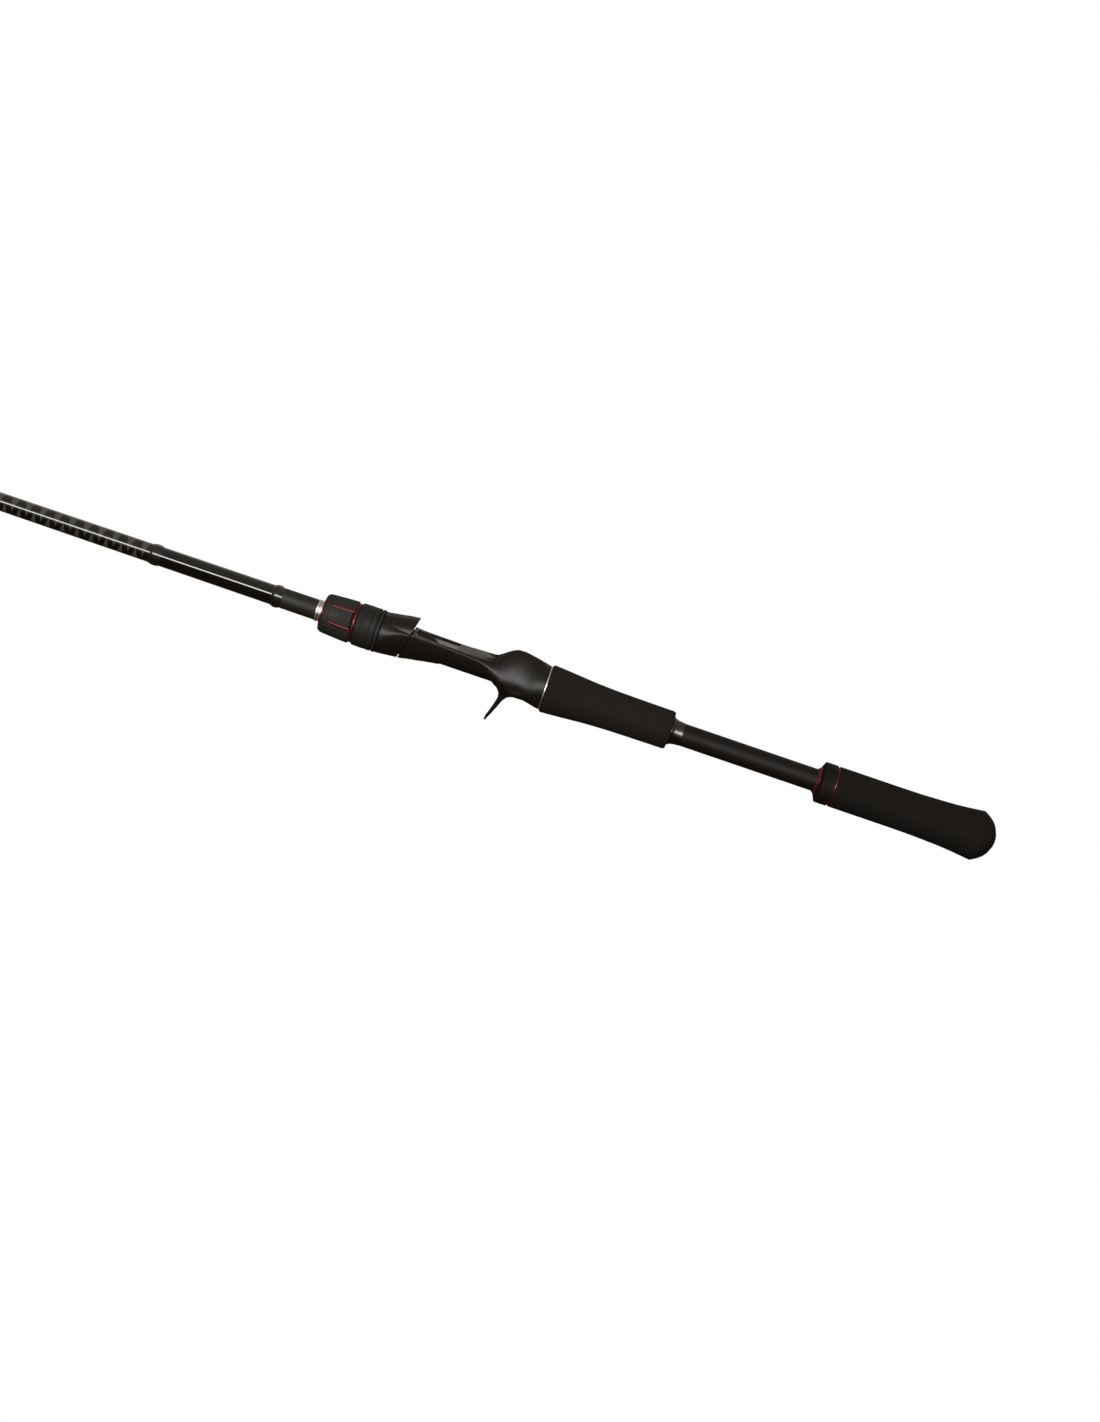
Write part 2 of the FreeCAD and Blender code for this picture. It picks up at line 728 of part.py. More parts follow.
def make_tip_top():
    """The end guide: a tube over the tip that carries a ring on two struts."""
    outside = "(tip_ring_bore + ring_thickness + holder_wall)"
    tube_outer = "(tip_radius + tip_tube_wall)"
    centre = "(tip_x - 1.4)"
    tube = cylinder("tip_tube", "tip_x - 1", "tip_tube_length + 1", tube_outer + " + 0.05")
    holder = cylinder("tip_holder", f"{centre} - holder_length / 2", "holder_length", outside,
                      "tip_ring_height")
    strut = block("tip_strut", "tip_x - 0.9", "6", "1.6", "0.4", "2.2")
    bore = cylinder("tip_tube_bore", "tip_x", "tip_tube_length + 1", "tip_radius + 0.08")
    hole = cylinder("tip_hole", f"{centre} - 3", "12", "tip_ring_bore + ring_thickness",
                    "tip_ring_height")
    frame = cut("tip_top_frame", joined("tip_solid", [tube, holder, strut]), [bore, hole])
    wrap = ring("tip_top_wrap", "tip_x + tip_tube_length", "tip_x + tip_tube_length + 5",
                ("tip_radius + 0.08", "tip_radius + 0.08"), "tip_radius + 0.4")
    return [frame, guide_ring("tip_top_ring", centre, "tip_ring_height", "tip_ring_bore"),
            wrap]


# ---------------------------------------------------------------- checks and export

def export(pieces):
    doc.recompute()
    for thing in doc.Objects:
        if "Invalid" in thing.State or "Error" in thing.State:
            raise RuntimeError(f"{thing.Label} failed: {thing.State}")
    for piece in pieces:
        if piece.Shape.isNull() or not piece.Shape.isValid() or not piece.Shape.Solids:
            raise RuntimeError(f"{piece.Label} has no valid solid")
    os.makedirs("parts", exist_ok=True)
    for piece in pieces:
        piece.Shape.exportStep(f"parts/{piece.Label}.step")
        print(f"{piece.Label}: {len(piece.Shape.Solids)} solids, {piece.Shape.Volume:.1f} mm3")


parts = [make_blank(), make_handle_tube()]
parts += make_handle_front()
parts += make_reel_seat()
parts += make_hood()
parts += make_nut()
parts += make_grips()
for guide in GUIDES:
    parts += make_guide(guide)
parts += make_tip_top()
export(parts)
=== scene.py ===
import math
import bmesh
import bpy
import numpy as np
from mathutils import Matrix, Vector


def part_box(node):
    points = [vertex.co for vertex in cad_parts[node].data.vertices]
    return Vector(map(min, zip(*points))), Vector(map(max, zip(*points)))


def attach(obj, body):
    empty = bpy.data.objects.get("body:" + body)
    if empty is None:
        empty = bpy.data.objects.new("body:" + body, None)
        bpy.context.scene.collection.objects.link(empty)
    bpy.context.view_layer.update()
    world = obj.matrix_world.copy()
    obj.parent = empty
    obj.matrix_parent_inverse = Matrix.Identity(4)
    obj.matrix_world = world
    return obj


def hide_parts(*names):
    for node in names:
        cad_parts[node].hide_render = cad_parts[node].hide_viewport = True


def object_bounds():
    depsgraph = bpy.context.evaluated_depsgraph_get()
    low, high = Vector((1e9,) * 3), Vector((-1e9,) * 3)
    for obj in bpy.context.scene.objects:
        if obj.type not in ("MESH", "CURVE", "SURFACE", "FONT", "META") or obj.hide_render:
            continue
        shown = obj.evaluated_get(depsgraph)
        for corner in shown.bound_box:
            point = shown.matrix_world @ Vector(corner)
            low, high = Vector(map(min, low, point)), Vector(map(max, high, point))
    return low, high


# Looks of a casting rod with a trigger reel seat. Lengths are in millimetres until a mesh is
# made. X runs along the rod with the tip at -X, Z points to the reel's side, and the rod's
# centre line is the X axis.

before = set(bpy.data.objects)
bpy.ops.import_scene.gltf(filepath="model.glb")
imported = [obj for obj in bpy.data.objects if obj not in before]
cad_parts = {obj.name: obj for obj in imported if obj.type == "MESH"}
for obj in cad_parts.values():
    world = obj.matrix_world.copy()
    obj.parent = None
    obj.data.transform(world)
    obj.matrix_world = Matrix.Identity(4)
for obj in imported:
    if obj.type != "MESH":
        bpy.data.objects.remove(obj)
cad_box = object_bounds()

MM = 0.001
TAU = 2 * math.pi


def span(node):
    """Where a CAD node starts and ends along the rod, in millimetres."""
    low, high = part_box(node)
    return low.x / MM, high.x / MM


def reach(node):
    """A round CAD node's outer radius, in millimetres."""
    low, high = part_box(node)
    return (high.y - low.y) / 2 / MM


# ------------------------------------------------------------------ numbers and curves

def smooth_table(points):
    """A smooth function through (x, value) points that never overshoots them."""
    xs, ys = (np.array(column, float) for column in zip(*points))
    steps = np.diff(xs)
    rises = np.diff(ys) / steps
    slopes = np.zeros(len(xs))
    slopes[0], slopes[-1] = rises[0], rises[-1]
    same = rises[:-1] * rises[1:] > 0
    safe = np.where(same, rises[:-1] + rises[1:], 1)
    slopes[1:-1] = np.where(same, 2 * rises[:-1] * rises[1:] / safe, 0)

    def read(x):
        x = np.clip(x, xs[0], xs[-1])
        at = np.clip(np.searchsorted(xs, x) - 1, 0, len(steps) - 1)
        width = steps[at]
        u = (x - xs[at]) / width
        return ((2 * u ** 3 - 3 * u ** 2 + 1) * ys[at]
                + (u ** 3 - 2 * u ** 2 + u) * width * slopes[at]
                + (3 * u ** 2 - 2 * u ** 3) * ys[at + 1]
                + (u ** 3 - u ** 2) * width * slopes[at + 1])
    return read


def smooth_min(a, b, blend):
    share = np.clip(0.5 + 0.5 * (b - a) / blend, 0, 1)
    return b + (a - b) * share - blend * share * (1 - share)


def smooth_max(a, b, blend):
    return -smooth_min(-a, -b, blend)


def rounded(corners, steps=5):
    """A closed outline from (x, r) or (x, r, fillet) corners, with each fillet as an arc."""
    out = []
    for index, corner in enumerate(corners):
        here = np.array(corner[:2], float)
        if len(corner) == 2:
            out.append(here)
            continue
        before = np.array(corners[index - 1][:2], float) - here
        after = np.array(corners[(index + 1) % len(corners)][:2], float) - here
        reach_in = min(corner[2], np.linalg.norm(before) * 0.49, np.linalg.norm(after) * 0.49)
        start = here + before / np.linalg.norm(before) * reach_in
        end = here + after / np.linalg.norm(after) * reach_in
        for u in np.linspace(0, 1, steps):
            out.append((1 - u) ** 2 * start + 2 * u * (1 - u) * here + u * u * end)
    return out


def curve_points(points, count):
    """Evenly spaced (x, r) samples of a smooth curve through the points."""
    read = smooth_table(points)
    xs = np.linspace(points[0][0], points[-1][0], count)
    return [(x, float(read(x))) for x in xs]


# ------------------------------------------------------------------ meshes

def lathe(corners, steps=96, height=0.0, fillet_steps=5):
    """Vertices and faces of a closed outline turned about the X axis at a height."""
    outline = np.array(rounded(corners, fillet_steps))
    angles = np.linspace(0, TAU, steps, endpoint=False)
    x = np.repeat(outline[:, 0], steps)
    radius = np.repeat(outline[:, 1], steps)
    around = np.tile(angles, len(outline))
    verts = np.stack([x, radius * np.sin(around), radius * np.cos(around) + height], axis=1)
    return verts, grid_faces(len(outline), steps, True)


def grid_faces(rows, columns, closed):
    """Quads between rows of a grid whose columns close on themselves."""
    faces = []
    for row in range(rows if closed else rows - 1):
        below = (row + 1) % rows
        for column in range(columns):
            right = (column + 1) % columns
            faces.append((row * columns + column, row * columns + right,
                          below * columns + right, below * columns + column))
    return faces


def polar(xs, radius_at, bore, steps=240):
    """A closed sleeve whose outer radius is a function of place and angle from +Z."""
    angles = np.linspace(0, TAU, steps, endpoint=False)
    rows = []
    for x in xs:
        radius = radius_at(x, angles)
        rows.append(np.stack([np.full(steps, x), radius * np.sin(angles),
                              radius * np.cos(angles)], axis=1))
    for x in (xs[-1], xs[0]):
        rows.append(np.stack([np.full(steps, x), bore * np.sin(angles),
                              bore * np.cos(angles)], axis=1))
    return np.concatenate(rows), grid_faces(len(rows), steps, True)


def tube(points, radii, steps=12):
    """A round wire along points, with rounded ends; radii are one each."""
    points = [Vector(p) for p in points]
    verts = []
    side = Vector((0, 1, 0.001))
    for index, point in enumerate(points):
        ahead = points[min(index + 1, len(points) - 1)] - points[max(index - 1, 0)]
        ahead.normalize()
        side = (side - ahead * side.dot(ahead)).normalized()
        up = ahead.cross(side)
        for step in range(steps):
            angle = TAU * step / steps
            verts.append(point + (side * math.cos(angle) + up * math.sin(angle)) * radii[index])
    faces = grid_faces(len(points), steps, False)
    faces.append(tuple(range(steps)))
    last = (len(points) - 1) * steps
    faces.append(tuple(last + step for step in reversed(range(steps))))
    return np.array(verts), faces


def merged(*parts):
    verts, faces, offset = [], [], 0
    for part_verts, part_faces in parts:
        verts.append(part_verts)
        faces += [tuple(index + offset for index in face) for face in part_faces]
        offset += len(part_verts)
    return np.concatenate(verts), faces


EDGES = [(a, b) for a in range(8) for b in range(8) if a < b and bin(a ^ b).count("1") == 1]


def surface(field, low, high, cell):
    """A quad mesh of field = 0 inside a box: one vertex per crossed cell, then moved on to it."""
    counts = [int(math.ceil((high[i] - low[i]) / cell)) + 1 for i in range(3)]
    axes = [low[i] + cell * np.arange(counts[i]) for i in range(3)]
    value = field(*np.meshgrid(*axes, indexing="ij"))
    corners = []
    for corner in range(8):
        cut = tuple(slice(1, None) if corner >> i & 1 else slice(None, -1) for i in range(3))
        corners.append(value[cut])
    filled = sum((c < 0).astype(int) for c in corners)
    cells = np.argwhere((filled > 0) & (filled < 8))
    index = np.full(filled.shape, -1)
    index[tuple(cells.T)] = np.arange(len(cells))
    at = [c[tuple(cells.T)] for c in corners]
    total = np.zeros((len(cells), 3))
    crossings = np.zeros(len(cells))
    for a, b in EDGES:
        crossed = (at[a] < 0) != (at[b] < 0)
        share = np.where(crossed, at[a] / np.where(crossed, at[a] - at[b], 1), 0)
        for i in range(3):
            start, end = a >> i & 1, b >> i & 1
            total[:, i] += np.where(crossed, start + share * (end - start), 0)
        crossings += crossed
    verts = np.array(low) + cell * (cells + total / crossings[:, None])
    verts = settle(field, verts, cell)
    faces = []
    inside = value < 0
    for axis in range(3):
        one, two = (axis + 1) % 3, (axis + 2) % 3
        here = [slice(None)] * 3
        there = [slice(None)] * 3
        here[axis], there[axis] = slice(None, -1), slice(1, None)
        change = inside[tuple(here)].astype(int) - inside[tuple(there)]
        spots = np.argwhere(change != 0)
        spots = spots[(spots[:, one] > 0) & (spots[:, two] > 0)]
        keep = change[tuple(spots.T)]
        quad = []
        for back_one, back_two in ((1, 1), (0, 1), (0, 0), (1, 0)):
            moved = spots.copy()
            moved[:, one] -= back_one
            moved[:, two] -= back_two
            quad.append(index[tuple(moved.T)])
        quad = np.stack(quad, axis=1)
        quad[keep < 0] = quad[keep < 0][:, ::-1]
        faces += [tuple(q) for q in quad.tolist()]
    return verts, faces


def settle(field, verts, cell):
    """Moves vertices on to field = 0 along its slope."""
    nudge = cell * 0.05
    for _ in range(4):
        value = field(*verts.T)
        slope = np.stack([(field(*(verts + nudge * axis).T) - field(*(verts - nudge * axis).T))
                          / (2 * nudge) for axis in np.eye(3)], axis=1)
        step = value / np.maximum((slope ** 2).sum(1), 0.2)
        verts = verts - np.clip(step, -cell * 0.4, cell * 0.4)[:, None] * slope
    return verts


def piece(name, shape, look, body, nodes, sharp=35):
    """Makes a mesh a piece of the object: its look, the body it rides on, and hides the CAD nodes
    it replaces.
    """
    verts, faces = shape
    mesh = bpy.data.meshes.new(name)
    mesh.from_pydata((np.asarray(verts) * MM).tolist(), [], faces)
    tidy = bmesh.new()
    tidy.from_mesh(mesh)
    bmesh.ops.remove_doubles(tidy, verts=tidy.verts, dist=1e-7)
    bmesh.ops.recalc_face_normals(tidy, faces=tidy.faces)
    tidy.to_mesh(mesh)
    tidy.free()
    mesh.shade_smooth()
    mesh.set_sharp_from_angle(angle=math.radians(sharp))
    mesh.materials.append(look)
    made = bpy.data.objects.new(name, mesh)
    bpy.context.scene.collection.objects.link(made)
    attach(made, body)
    if nodes:
        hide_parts(*nodes)
    return made


def dress(look, slot, *nodes):
    """Gives CAD nodes that stay in view their material."""
    for node in nodes:
        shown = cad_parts[node]
        shown.data.materials.clear()
        shown.data.materials.append(look)


# ------------------------------------------------------------------ materials

class Look:
    """A node material under construction."""

    def __init__(self, name, colour, roughness, metallic=0.0, **sockets):
        self.material = bpy.data.materials.new(name)
        self.material.use_nodes = True
        self.tree = self.material.node_tree
        self.shader = self.tree.nodes["Principled BSDF"]
        self.shader.inputs["Base Color"].default_value = (*colour, 1)
        self.shader.inputs["Roughness"].default_value = roughness
        self.shader.inputs["Metallic"].default_value = metallic
        for socket, value in sockets.items():
            self.shader.inputs[socket.replace("_", " ")].default_value = value
        self.place = self.add("ShaderNodeTexCoord").outputs["Object"]

    def add(self, kind, **settings):
        node = self.tree.nodes.new(kind)
        for name, value in settings.items():
            setattr(node, name, value)
        return node

    def feed(self, socket, value):
        if isinstance(value, bpy.types.NodeSocket):
            self.tree.links.new(value, socket)
        else:
            socket.default_value = value

    def math(self, operation, *values):
        node = self.add("ShaderNodeMath", operation=operation)
        for socket, value in zip(node.inputs, values):
            self.feed(socket, value)
        return node.outputs[0]

    def stretched(self, scale):
        node = self.add("ShaderNodeVectorMath", operation="MULTIPLY")
        self.feed(node.inputs[0], self.place)
        node.inputs[1].default_value = scale
        return node.outputs[0]

    def noise(self, scale, detail=3.0, stretch=(1, 1, 1)):
        node = self.add("ShaderNodeTexNoise")
        self.feed(node.inputs["Vector"], self.stretched(stretch))
        node.inputs["Scale"].default_value = scale
        node.inputs["Detail"].default_value = detail
        return node.outputs["Fac"]

    def ranged(self, value, low, high, out_low, out_high):
        node = self.add("ShaderNodeMapRange")
        for socket, part in zip(("Value", "From Min", "From Max", "To Min", "To Max"),
                                (value, low, high, out_low, out_high)):
            self.feed(node.inputs[socket], part)
        return node.outputs[0]

    def mixed(self, share, first, second):
        node = self.add("ShaderNodeMix", data_type="RGBA")
        self.feed(node.inputs["Factor"], share)
        node.inputs[6].default_value = (*first, 1)
        node.inputs[7].default_value = (*second, 1)
        return node.outputs[2]

    def colour_by(self, share, first, second):
        self.feed(self.shader.inputs["Base Color"], self.mixed(share, first, second))

    def rough_by(self, value, low, high):
        self.feed(self.shader.inputs["Roughness"], self.ranged(value, 0.3, 0.7, low, high))

    def bump(self, value, depth, strength=1.0):
        node = self.add("ShaderNodeBump")
        node.inputs["Strength"].default_value = strength
        node.inputs["Distance"].default_value = depth * MM
        self.feed(node.inputs["Height"], value)
        self.feed(self.shader.inputs["Normal"], node.outputs["Normal"])

    def parts_of_place(self):
        node = self.add("ShaderNodeSeparateXYZ")
        self.feed(node.inputs[0], self.place)
        return node.outputs


WIND_PITCH = 8.4
DARK_SHARE = 0.36
# The middle of the light part of a winding, as a share of a turn, and a place along the rod where
# that middle lies on top.
LIGHT_MIDDLE = 0.68
LIGHT_TOP_X = -211.8


def carbon_look(phase):
    """Clear-coated blank: two tapes wound in opposite directions over a light twill."""
    look = Look("carbon", (0.01, 0.01, 0.01), 0.3, Coat_Weight=1.0, Coat_Roughness=0.035,
                Specular_IOR_Level=0.15)
    x, y, z = look.parts_of_place()
    weave_turn = TAU * 36
    turn = look.math("DIVIDE", look.math("ARCTAN2", y, z), TAU)
    along = look.math("ADD", look.math("DIVIDE", x, WIND_PITCH * MM), phase)
    light = None
    for way in ("ADD", "SUBTRACT"):
        wound = look.math("FRACT", look.math(way, along, turn))
        past = look.ranged(wound, DARK_SHARE - 0.02, DARK_SHARE + 0.02, 0.0, 1.0)
        before = look.ranged(wound, 0.97, 1.0, 1.0, 0.0)
        clear = look.math("MULTIPLY", past, before)
        light = clear if light is None else look.math("MULTIPLY", light, clear)
    lengthwise = look.math("MULTIPLY", x, TAU / (0.9 * MM))
    around = look.math("MULTIPLY", turn, weave_turn)
    twill = look.math("SINE", look.math("ADD", lengthwise, around))
    weft = look.math("SINE", look.math("SUBTRACT", lengthwise, around))
    weave = look.ranged(look.math("MULTIPLY", twill, weft), -1.0, 1.0, 0.0, 1.0)
    shade = look.math("MULTIPLY", light, look.ranged(weave, 0.0, 1.0, 0.72, 1.0))
    look.colour_by(shade, (0.0022, 0.0018, 0.0014), (0.046, 0.043, 0.037))
    look.feed(look.shader.inputs["Roughness"], look.ranged(weave, 0.0, 1.0, 0.28, 0.4))
    look.bump(look.math("MULTIPLY", light, weave), 0.02, 0.4)
    return look.material


def gloss_look(name, colour, roughness, waver=0.004):
    """Varnished black: faint lengthwise waver and slight changes of gloss."""
    look = Look(name, colour, roughness, Coat_Weight=1.0, Coat_Roughness=0.035,
                Specular_IOR_Level=0.1)
    cloud = look.noise(90.0, 2.0, (0.3, 1, 1))
    look.rough_by(look.noise(700.0, 4.0), roughness * 0.8, roughness * 1.3)
    look.colour_by(cloud, tuple(c * 0.8 for c in colour), tuple(c * 1.3 for c in colour))
    look.bump(cloud, waver)
    return look.material


def thread_look():
    """Fine black thread under varnish, its turns painted lighter on the ridges and darker in the
    grooves as painted shade.
    """
    look = Look("thread_wrap", (0.004, 0.0035, 0.0035), 0.4, Coat_Weight=1.0, Coat_Roughness=0.04,
                Specular_IOR_Level=0.2)
    x = look.parts_of_place()[0]
    # painted shade: the same wave bumps the turns and darkens the grooves between them
    turn_ridges_and_shade = look.math("SINE", look.math("MULTIPLY", x, TAU / (0.22 * MM)))
    look.colour_by(look.ranged(turn_ridges_and_shade, -1.0, 1.0, 0.0, 1.0), (0.002, 0.0016, 0.0014),
                   (0.0065, 0.0055, 0.005))
    look.bump(turn_ridges_and_shade, 0.012, 0.5)
    return look.material


def moulded_look(name, colour, low, high, shine=0.5, grain=0.006):
    """Moulded plastic: fine grain, soft changes of gloss, a little dust in the colour."""
    look = Look(name, colour, (low + high) / 2, Specular_IOR_Level=shine)
    fine = look.noise(2600.0, 4.0)
    look.rough_by(look.noise(160.0, 5.0), low, high)
    look.colour_by(look.noise(60.0, 3.0), tuple(c * 0.85 for c in colour),
                   tuple(c * 1.2 for c in colour))
    look.bump(fine, grain, 0.6)
    return look.material


def foam_look(name, colour):
    """Closed-cell foam: open pores of about 0.3 mm, painted darker inside as painted shade, and
    slight mottling.
    """
    look = Look(name, colour, 0.85, Specular_IOR_Level=0.12)
    cells = look.add("ShaderNodeTexVoronoi")
    look.feed(cells.inputs["Vector"], look.stretched((1, 1, 1)))
    cells.inputs["Scale"].default_value = 2600.0
    # painted shade: the pores' dents are also painted darker; the soft mottling below is random
    # tone
    pore_dents_and_shade = look.ranged(cells.outputs["Distance"], 0.0, 0.55, 0.0, 1.0)
    soft = look.noise(420.0, 5.0)
    look.colour_by(look.math("MULTIPLY", pore_dents_and_shade, look.ranged(soft, 0.25, 0.75, 0.7, 1.0)),
                   tuple(c * 0.6 for c in colour), tuple(c * 1.3 for c in colour))
    look.rough_by(soft, 0.8, 0.95)
    look.bump(look.math("ADD", pore_dents_and_shade, soft), 0.03, 0.7)
    return look.material


def raised_mask(look, low, high):
    """Where the surface faces up: 0 below one share of up and 1 above the other."""
    facing = look.add("ShaderNodeSeparateXYZ")
    look.feed(facing.inputs[0], look.add("ShaderNodeNewGeometry").outputs["Normal"])
    return look.ranged(facing.outputs[2], low, high, 0.0, 1.0)


def deck_look(name, dark, light, low, high, shine):
    """Seat plastic whose up-facing deck and pocket floor are painted lighter, as painted light
    falling on them from above.
    """
    look = Look(name, dark, (low + high) / 2, Specular_IOR_Level=shine)
    height = look.parts_of_place()[2]
    on_deck = look.ranged(height, 6.9 * MM, 7.1 * MM, 1.0, 0.0)
    # painted light: up-facing surfaces below the deck's rim are painted lighter, as if lit from
    # above
    painted_top_light = look.math("MULTIPLY", raised_mask(look, 0.85, 0.99), on_deck)
    look.colour_by(look.math("MULTIPLY", painted_top_light, look.ranged(look.noise(300.0), 0.2, 0.8, 0.75, 1.0)),
                   dark, light)
    look.rough_by(look.noise(160.0, 5.0), low, high)
    look.bump(look.noise(2600.0, 4.0), 0.003, 0.6)
    return look.material


def tube_look(name, dark, light, low, high, shine):
    """Satin tube with a painted light patch on its upper side where the window shows it."""
    look = Look(name, dark, (low + high) / 2, Specular_IOR_Level=shine)
    x, y, _ = look.parts_of_place()
    # painted light: a lit wedge on the tube's upper side in the window, slanted at its front end
    front = look.ranged(look.math("ADD", x, y), -12.6 * MM, -11.4 * MM, 0.0, 1.0)
    back = look.ranged(x, 2.6 * MM, 3.0 * MM, 1.0, 0.0)
    painted_window_light = look.math("MULTIPLY", look.math("MULTIPLY", front, back), raised_mask(look, 0.3, 0.4))
    look.colour_by(look.math("MULTIPLY", painted_window_light, look.ranged(look.noise(500.0), 0.2, 0.8, 0.85, 1.0)),
                   dark, light)
    look.rough_by(look.noise(160.0, 5.0), low, high)
    look.bump(look.noise(2600.0, 4.0), 0.003, 0.5)
    return look.material


def turned_metal_look(name, colour, low, high, metallic=1.0):
    """Turned and polished metal: fine rings left by the tool, small scuffs."""
    look = Look(name, colour, (low + high) / 2, metallic)
    rings = look.noise(900.0, 2.0, (6, 0.6, 0.6))
    scuffs = look.noise(350.0, 6.0)
    look.rough_by(scuffs, low, high)
    look.colour_by(scuffs, tuple(c * 0.9 for c in colour), tuple(min(c * 1.08, 1) for c in colour))
    look.bump(rings, 0.004, 0.5)
    return look.material


SEAT_BLACK = (0.006, 0.0045, 0.0034)
LOOKS = {
    "carbon": carbon_look(LIGHT_MIDDLE - LIGHT_TOP_X / WIND_PITCH),
    "coat": gloss_look("clear_coat", (0.003, 0.0025, 0.002), 0.12),
    "tube": tube_look("tube_satin", (0.0045, 0.0033, 0.0024), (0.15, 0.143, 0.132), 0.5, 0.62,
                      0.15),
    "wrap": thread_look(),
    "sleeve": moulded_look("sleeve_black", (0.009, 0.0075, 0.006), 0.5, 0.65, 0.3),
    "seat": moulded_look("seat_black", SEAT_BLACK, 0.32, 0.42, 0.24, 0.003),
    "deck": deck_look("seat_deck", SEAT_BLACK, (0.07, 0.063, 0.053), 0.32, 0.42, 0.24),
    "nut": moulded_look("nut_black", (0.011, 0.0105, 0.0085), 0.62, 0.78, 0.25),
    "collar": moulded_look("collar_black", (0.0085, 0.0075, 0.006), 0.55, 0.7, 0.22),
    "rear_collar": moulded_look("rear_collar_black", (0.0045, 0.0035, 0.0022), 0.6, 0.75, 0.1),
    "fore_foam": foam_look("fore_foam", (0.0085, 0.006, 0.0044)),
    "rear_foam": foam_look("rear_foam", (0.0046, 0.0036, 0.0028)),
    "red": turned_metal_look("red_anodised", (0.15, 0.017, 0.022), 0.3, 0.42, 0.75),
    "silver": turned_metal_look("silver_polished", (0.74, 0.69, 0.65), 0.34, 0.46),
    "gunmetal": turned_metal_look("gunmetal", (0.09, 0.078, 0.074), 0.22, 0.34),
    "steel": turned_metal_look("guide_steel", (0.12, 0.12, 0.125), 0.2, 0.32),
    "ceramic": gloss_look("guide_ceramic", (0.03, 0.03, 0.033), 0.1, 0.001),
    "rubber": moulded_look("liner_rubber", (0.008, 0.008, 0.008), 0.6, 0.75, 0.3),
    "arbor": moulded_look("arbor_foam", (0.04, 0.035, 0.03), 0.7, 0.85, 0.3),
}


# ------------------------------------------------------------------ blank and trim

TUBE_RADIUS = reach("handle_tube")
BLANK_START, BLANK_END = span("blank")
TIP_RADIUS = 0.95
BUTT_RADIUS = 5.5
THICK_X = -216.0
HOLLOW_START_X = -900.0
BLANK_PROFILE = [(BLANK_START, TIP_RADIUS), (BLANK_START + 812, 3.0), (THICK_X, 5.1),
                 (-74.0, BUTT_RADIUS), (BLANK_END, BUTT_RADIUS)]
# How deep a wrap or a coat reaches below the blank's skin, so that no gap shows.
SUNK = 0.05


def blank_radius(x):
    xs, radii = zip(*BLANK_PROFILE)
    return float(np.interp(x, xs, radii))


def make_blank():
    outside = [(BLANK_START, 0.0), (BLANK_START, TIP_RADIUS, 0.3)]
    outside += [(x, blank_radius(x)) for x in np.linspace(BLANK_START + 6, -76, 160)]
    outside += [(BLANK_END, BUTT_RADIUS), (BLANK_END, 4.6), (THICK_X, 4.1), (HOLLOW_START_X, 0.0)]
    piece("blank_tube", lathe(outside, 96), LOOKS["carbon"], "rod", ["blank"])


def make_wrap(name, start, end, crown, node, tail=2.6):
    """A thread wrap under varnish that swells in the middle and thins out at both ends."""
    xs = np.linspace(start, end, 60)
    outside = []
    for x in xs:
        edge = min(x - start, end - x) / tail
        swell = (1 - math.cos(math.pi * min(edge, 1))) / 2
        middle = 1 - ((x - (start + end) / 2) / (end - start) * 2) ** 2
        outside.append((x, blank_radius(x) + 0.13 + crown * (0.8 * swell + 0.2 * middle)))
    outside += [(end, blank_radius(end) - SUNK), (start, blank_radius(start) - SUNK)]
    piece(name, lathe(outside), LOOKS["wrap"], "rod", [node])


def make_front_of_handle():
    make_wrap("front_wrap", *span("trim_wrap_front"), 0.6, "trim_wrap_front")
    make_wrap("rear_wrap", *span("trim_wrap_rear"), 0.8, "trim_wrap_rear")
    start, end = span("blank_coat")
    outside = [(x, blank_radius(x) + 0.12) for x in np.linspace(start, end, 30)]
    inside = [(end, blank_radius(end) - SUNK), (start, blank_radius(start) - SUNK)]
    piece("coat_section", lathe(outside + inside), LOOKS["coat"], "rod", ["blank_coat"])

    start, end = span("blank_sleeve")
    piece("matte_sleeve", lathe([
        (start, 5.3), (start, 5.62, 0.25), (start + 0.5, 5.7, 0.2), (end, 5.75, 0.2), (end, 5.3),
    ]), LOOKS["sleeve"], "rod", ["blank_sleeve"])

    start, end = span("front_check")
    rim = reach("front_check")
    middle = (start + end) / 2
    piece("silver_check", lathe([
        (start, 5.4), (start, rim - 0.1, 0.3), (start + 0.5, rim, 0.3), (middle - 0.5, rim, 0.25),
        (middle - 0.3, rim - 0.45, 0.15), (middle + 0.35, rim - 0.45, 0.15),
        (middle + 0.55, rim, 0.25), (end - 0.45, rim, 0.3), (end, rim - 0.15, 0.3), (end, 5.4),
    ]), LOOKS["silver"], "rod", ["front_check"])


# ------------------------------------------------------------------ reel seat

SLANT = math.radians(14.5)
HOOD_EDGE_X = -26.2
SEAT_EDGE_X = HOOD_EDGE_X + 0.4
DECK_HEIGHT = 6.7
FLOOR_HEIGHT = 6.5
SEAT_BORE = TUBE_RADIUS - 0.4
SEAT_END_X = 54
POCKET_HALF, POCKET_START_X, POCKET_END_X = 6.2, 26, 40
POCKET_WALL = 1.6
WINDOW_MIDDLE_X, WINDOW_HALF_LENGTH = -10, 12.3
THREAD_PITCH = 1.5
THREAD_RADIUS = 8.55
THREAD_DEPTH = 0.5

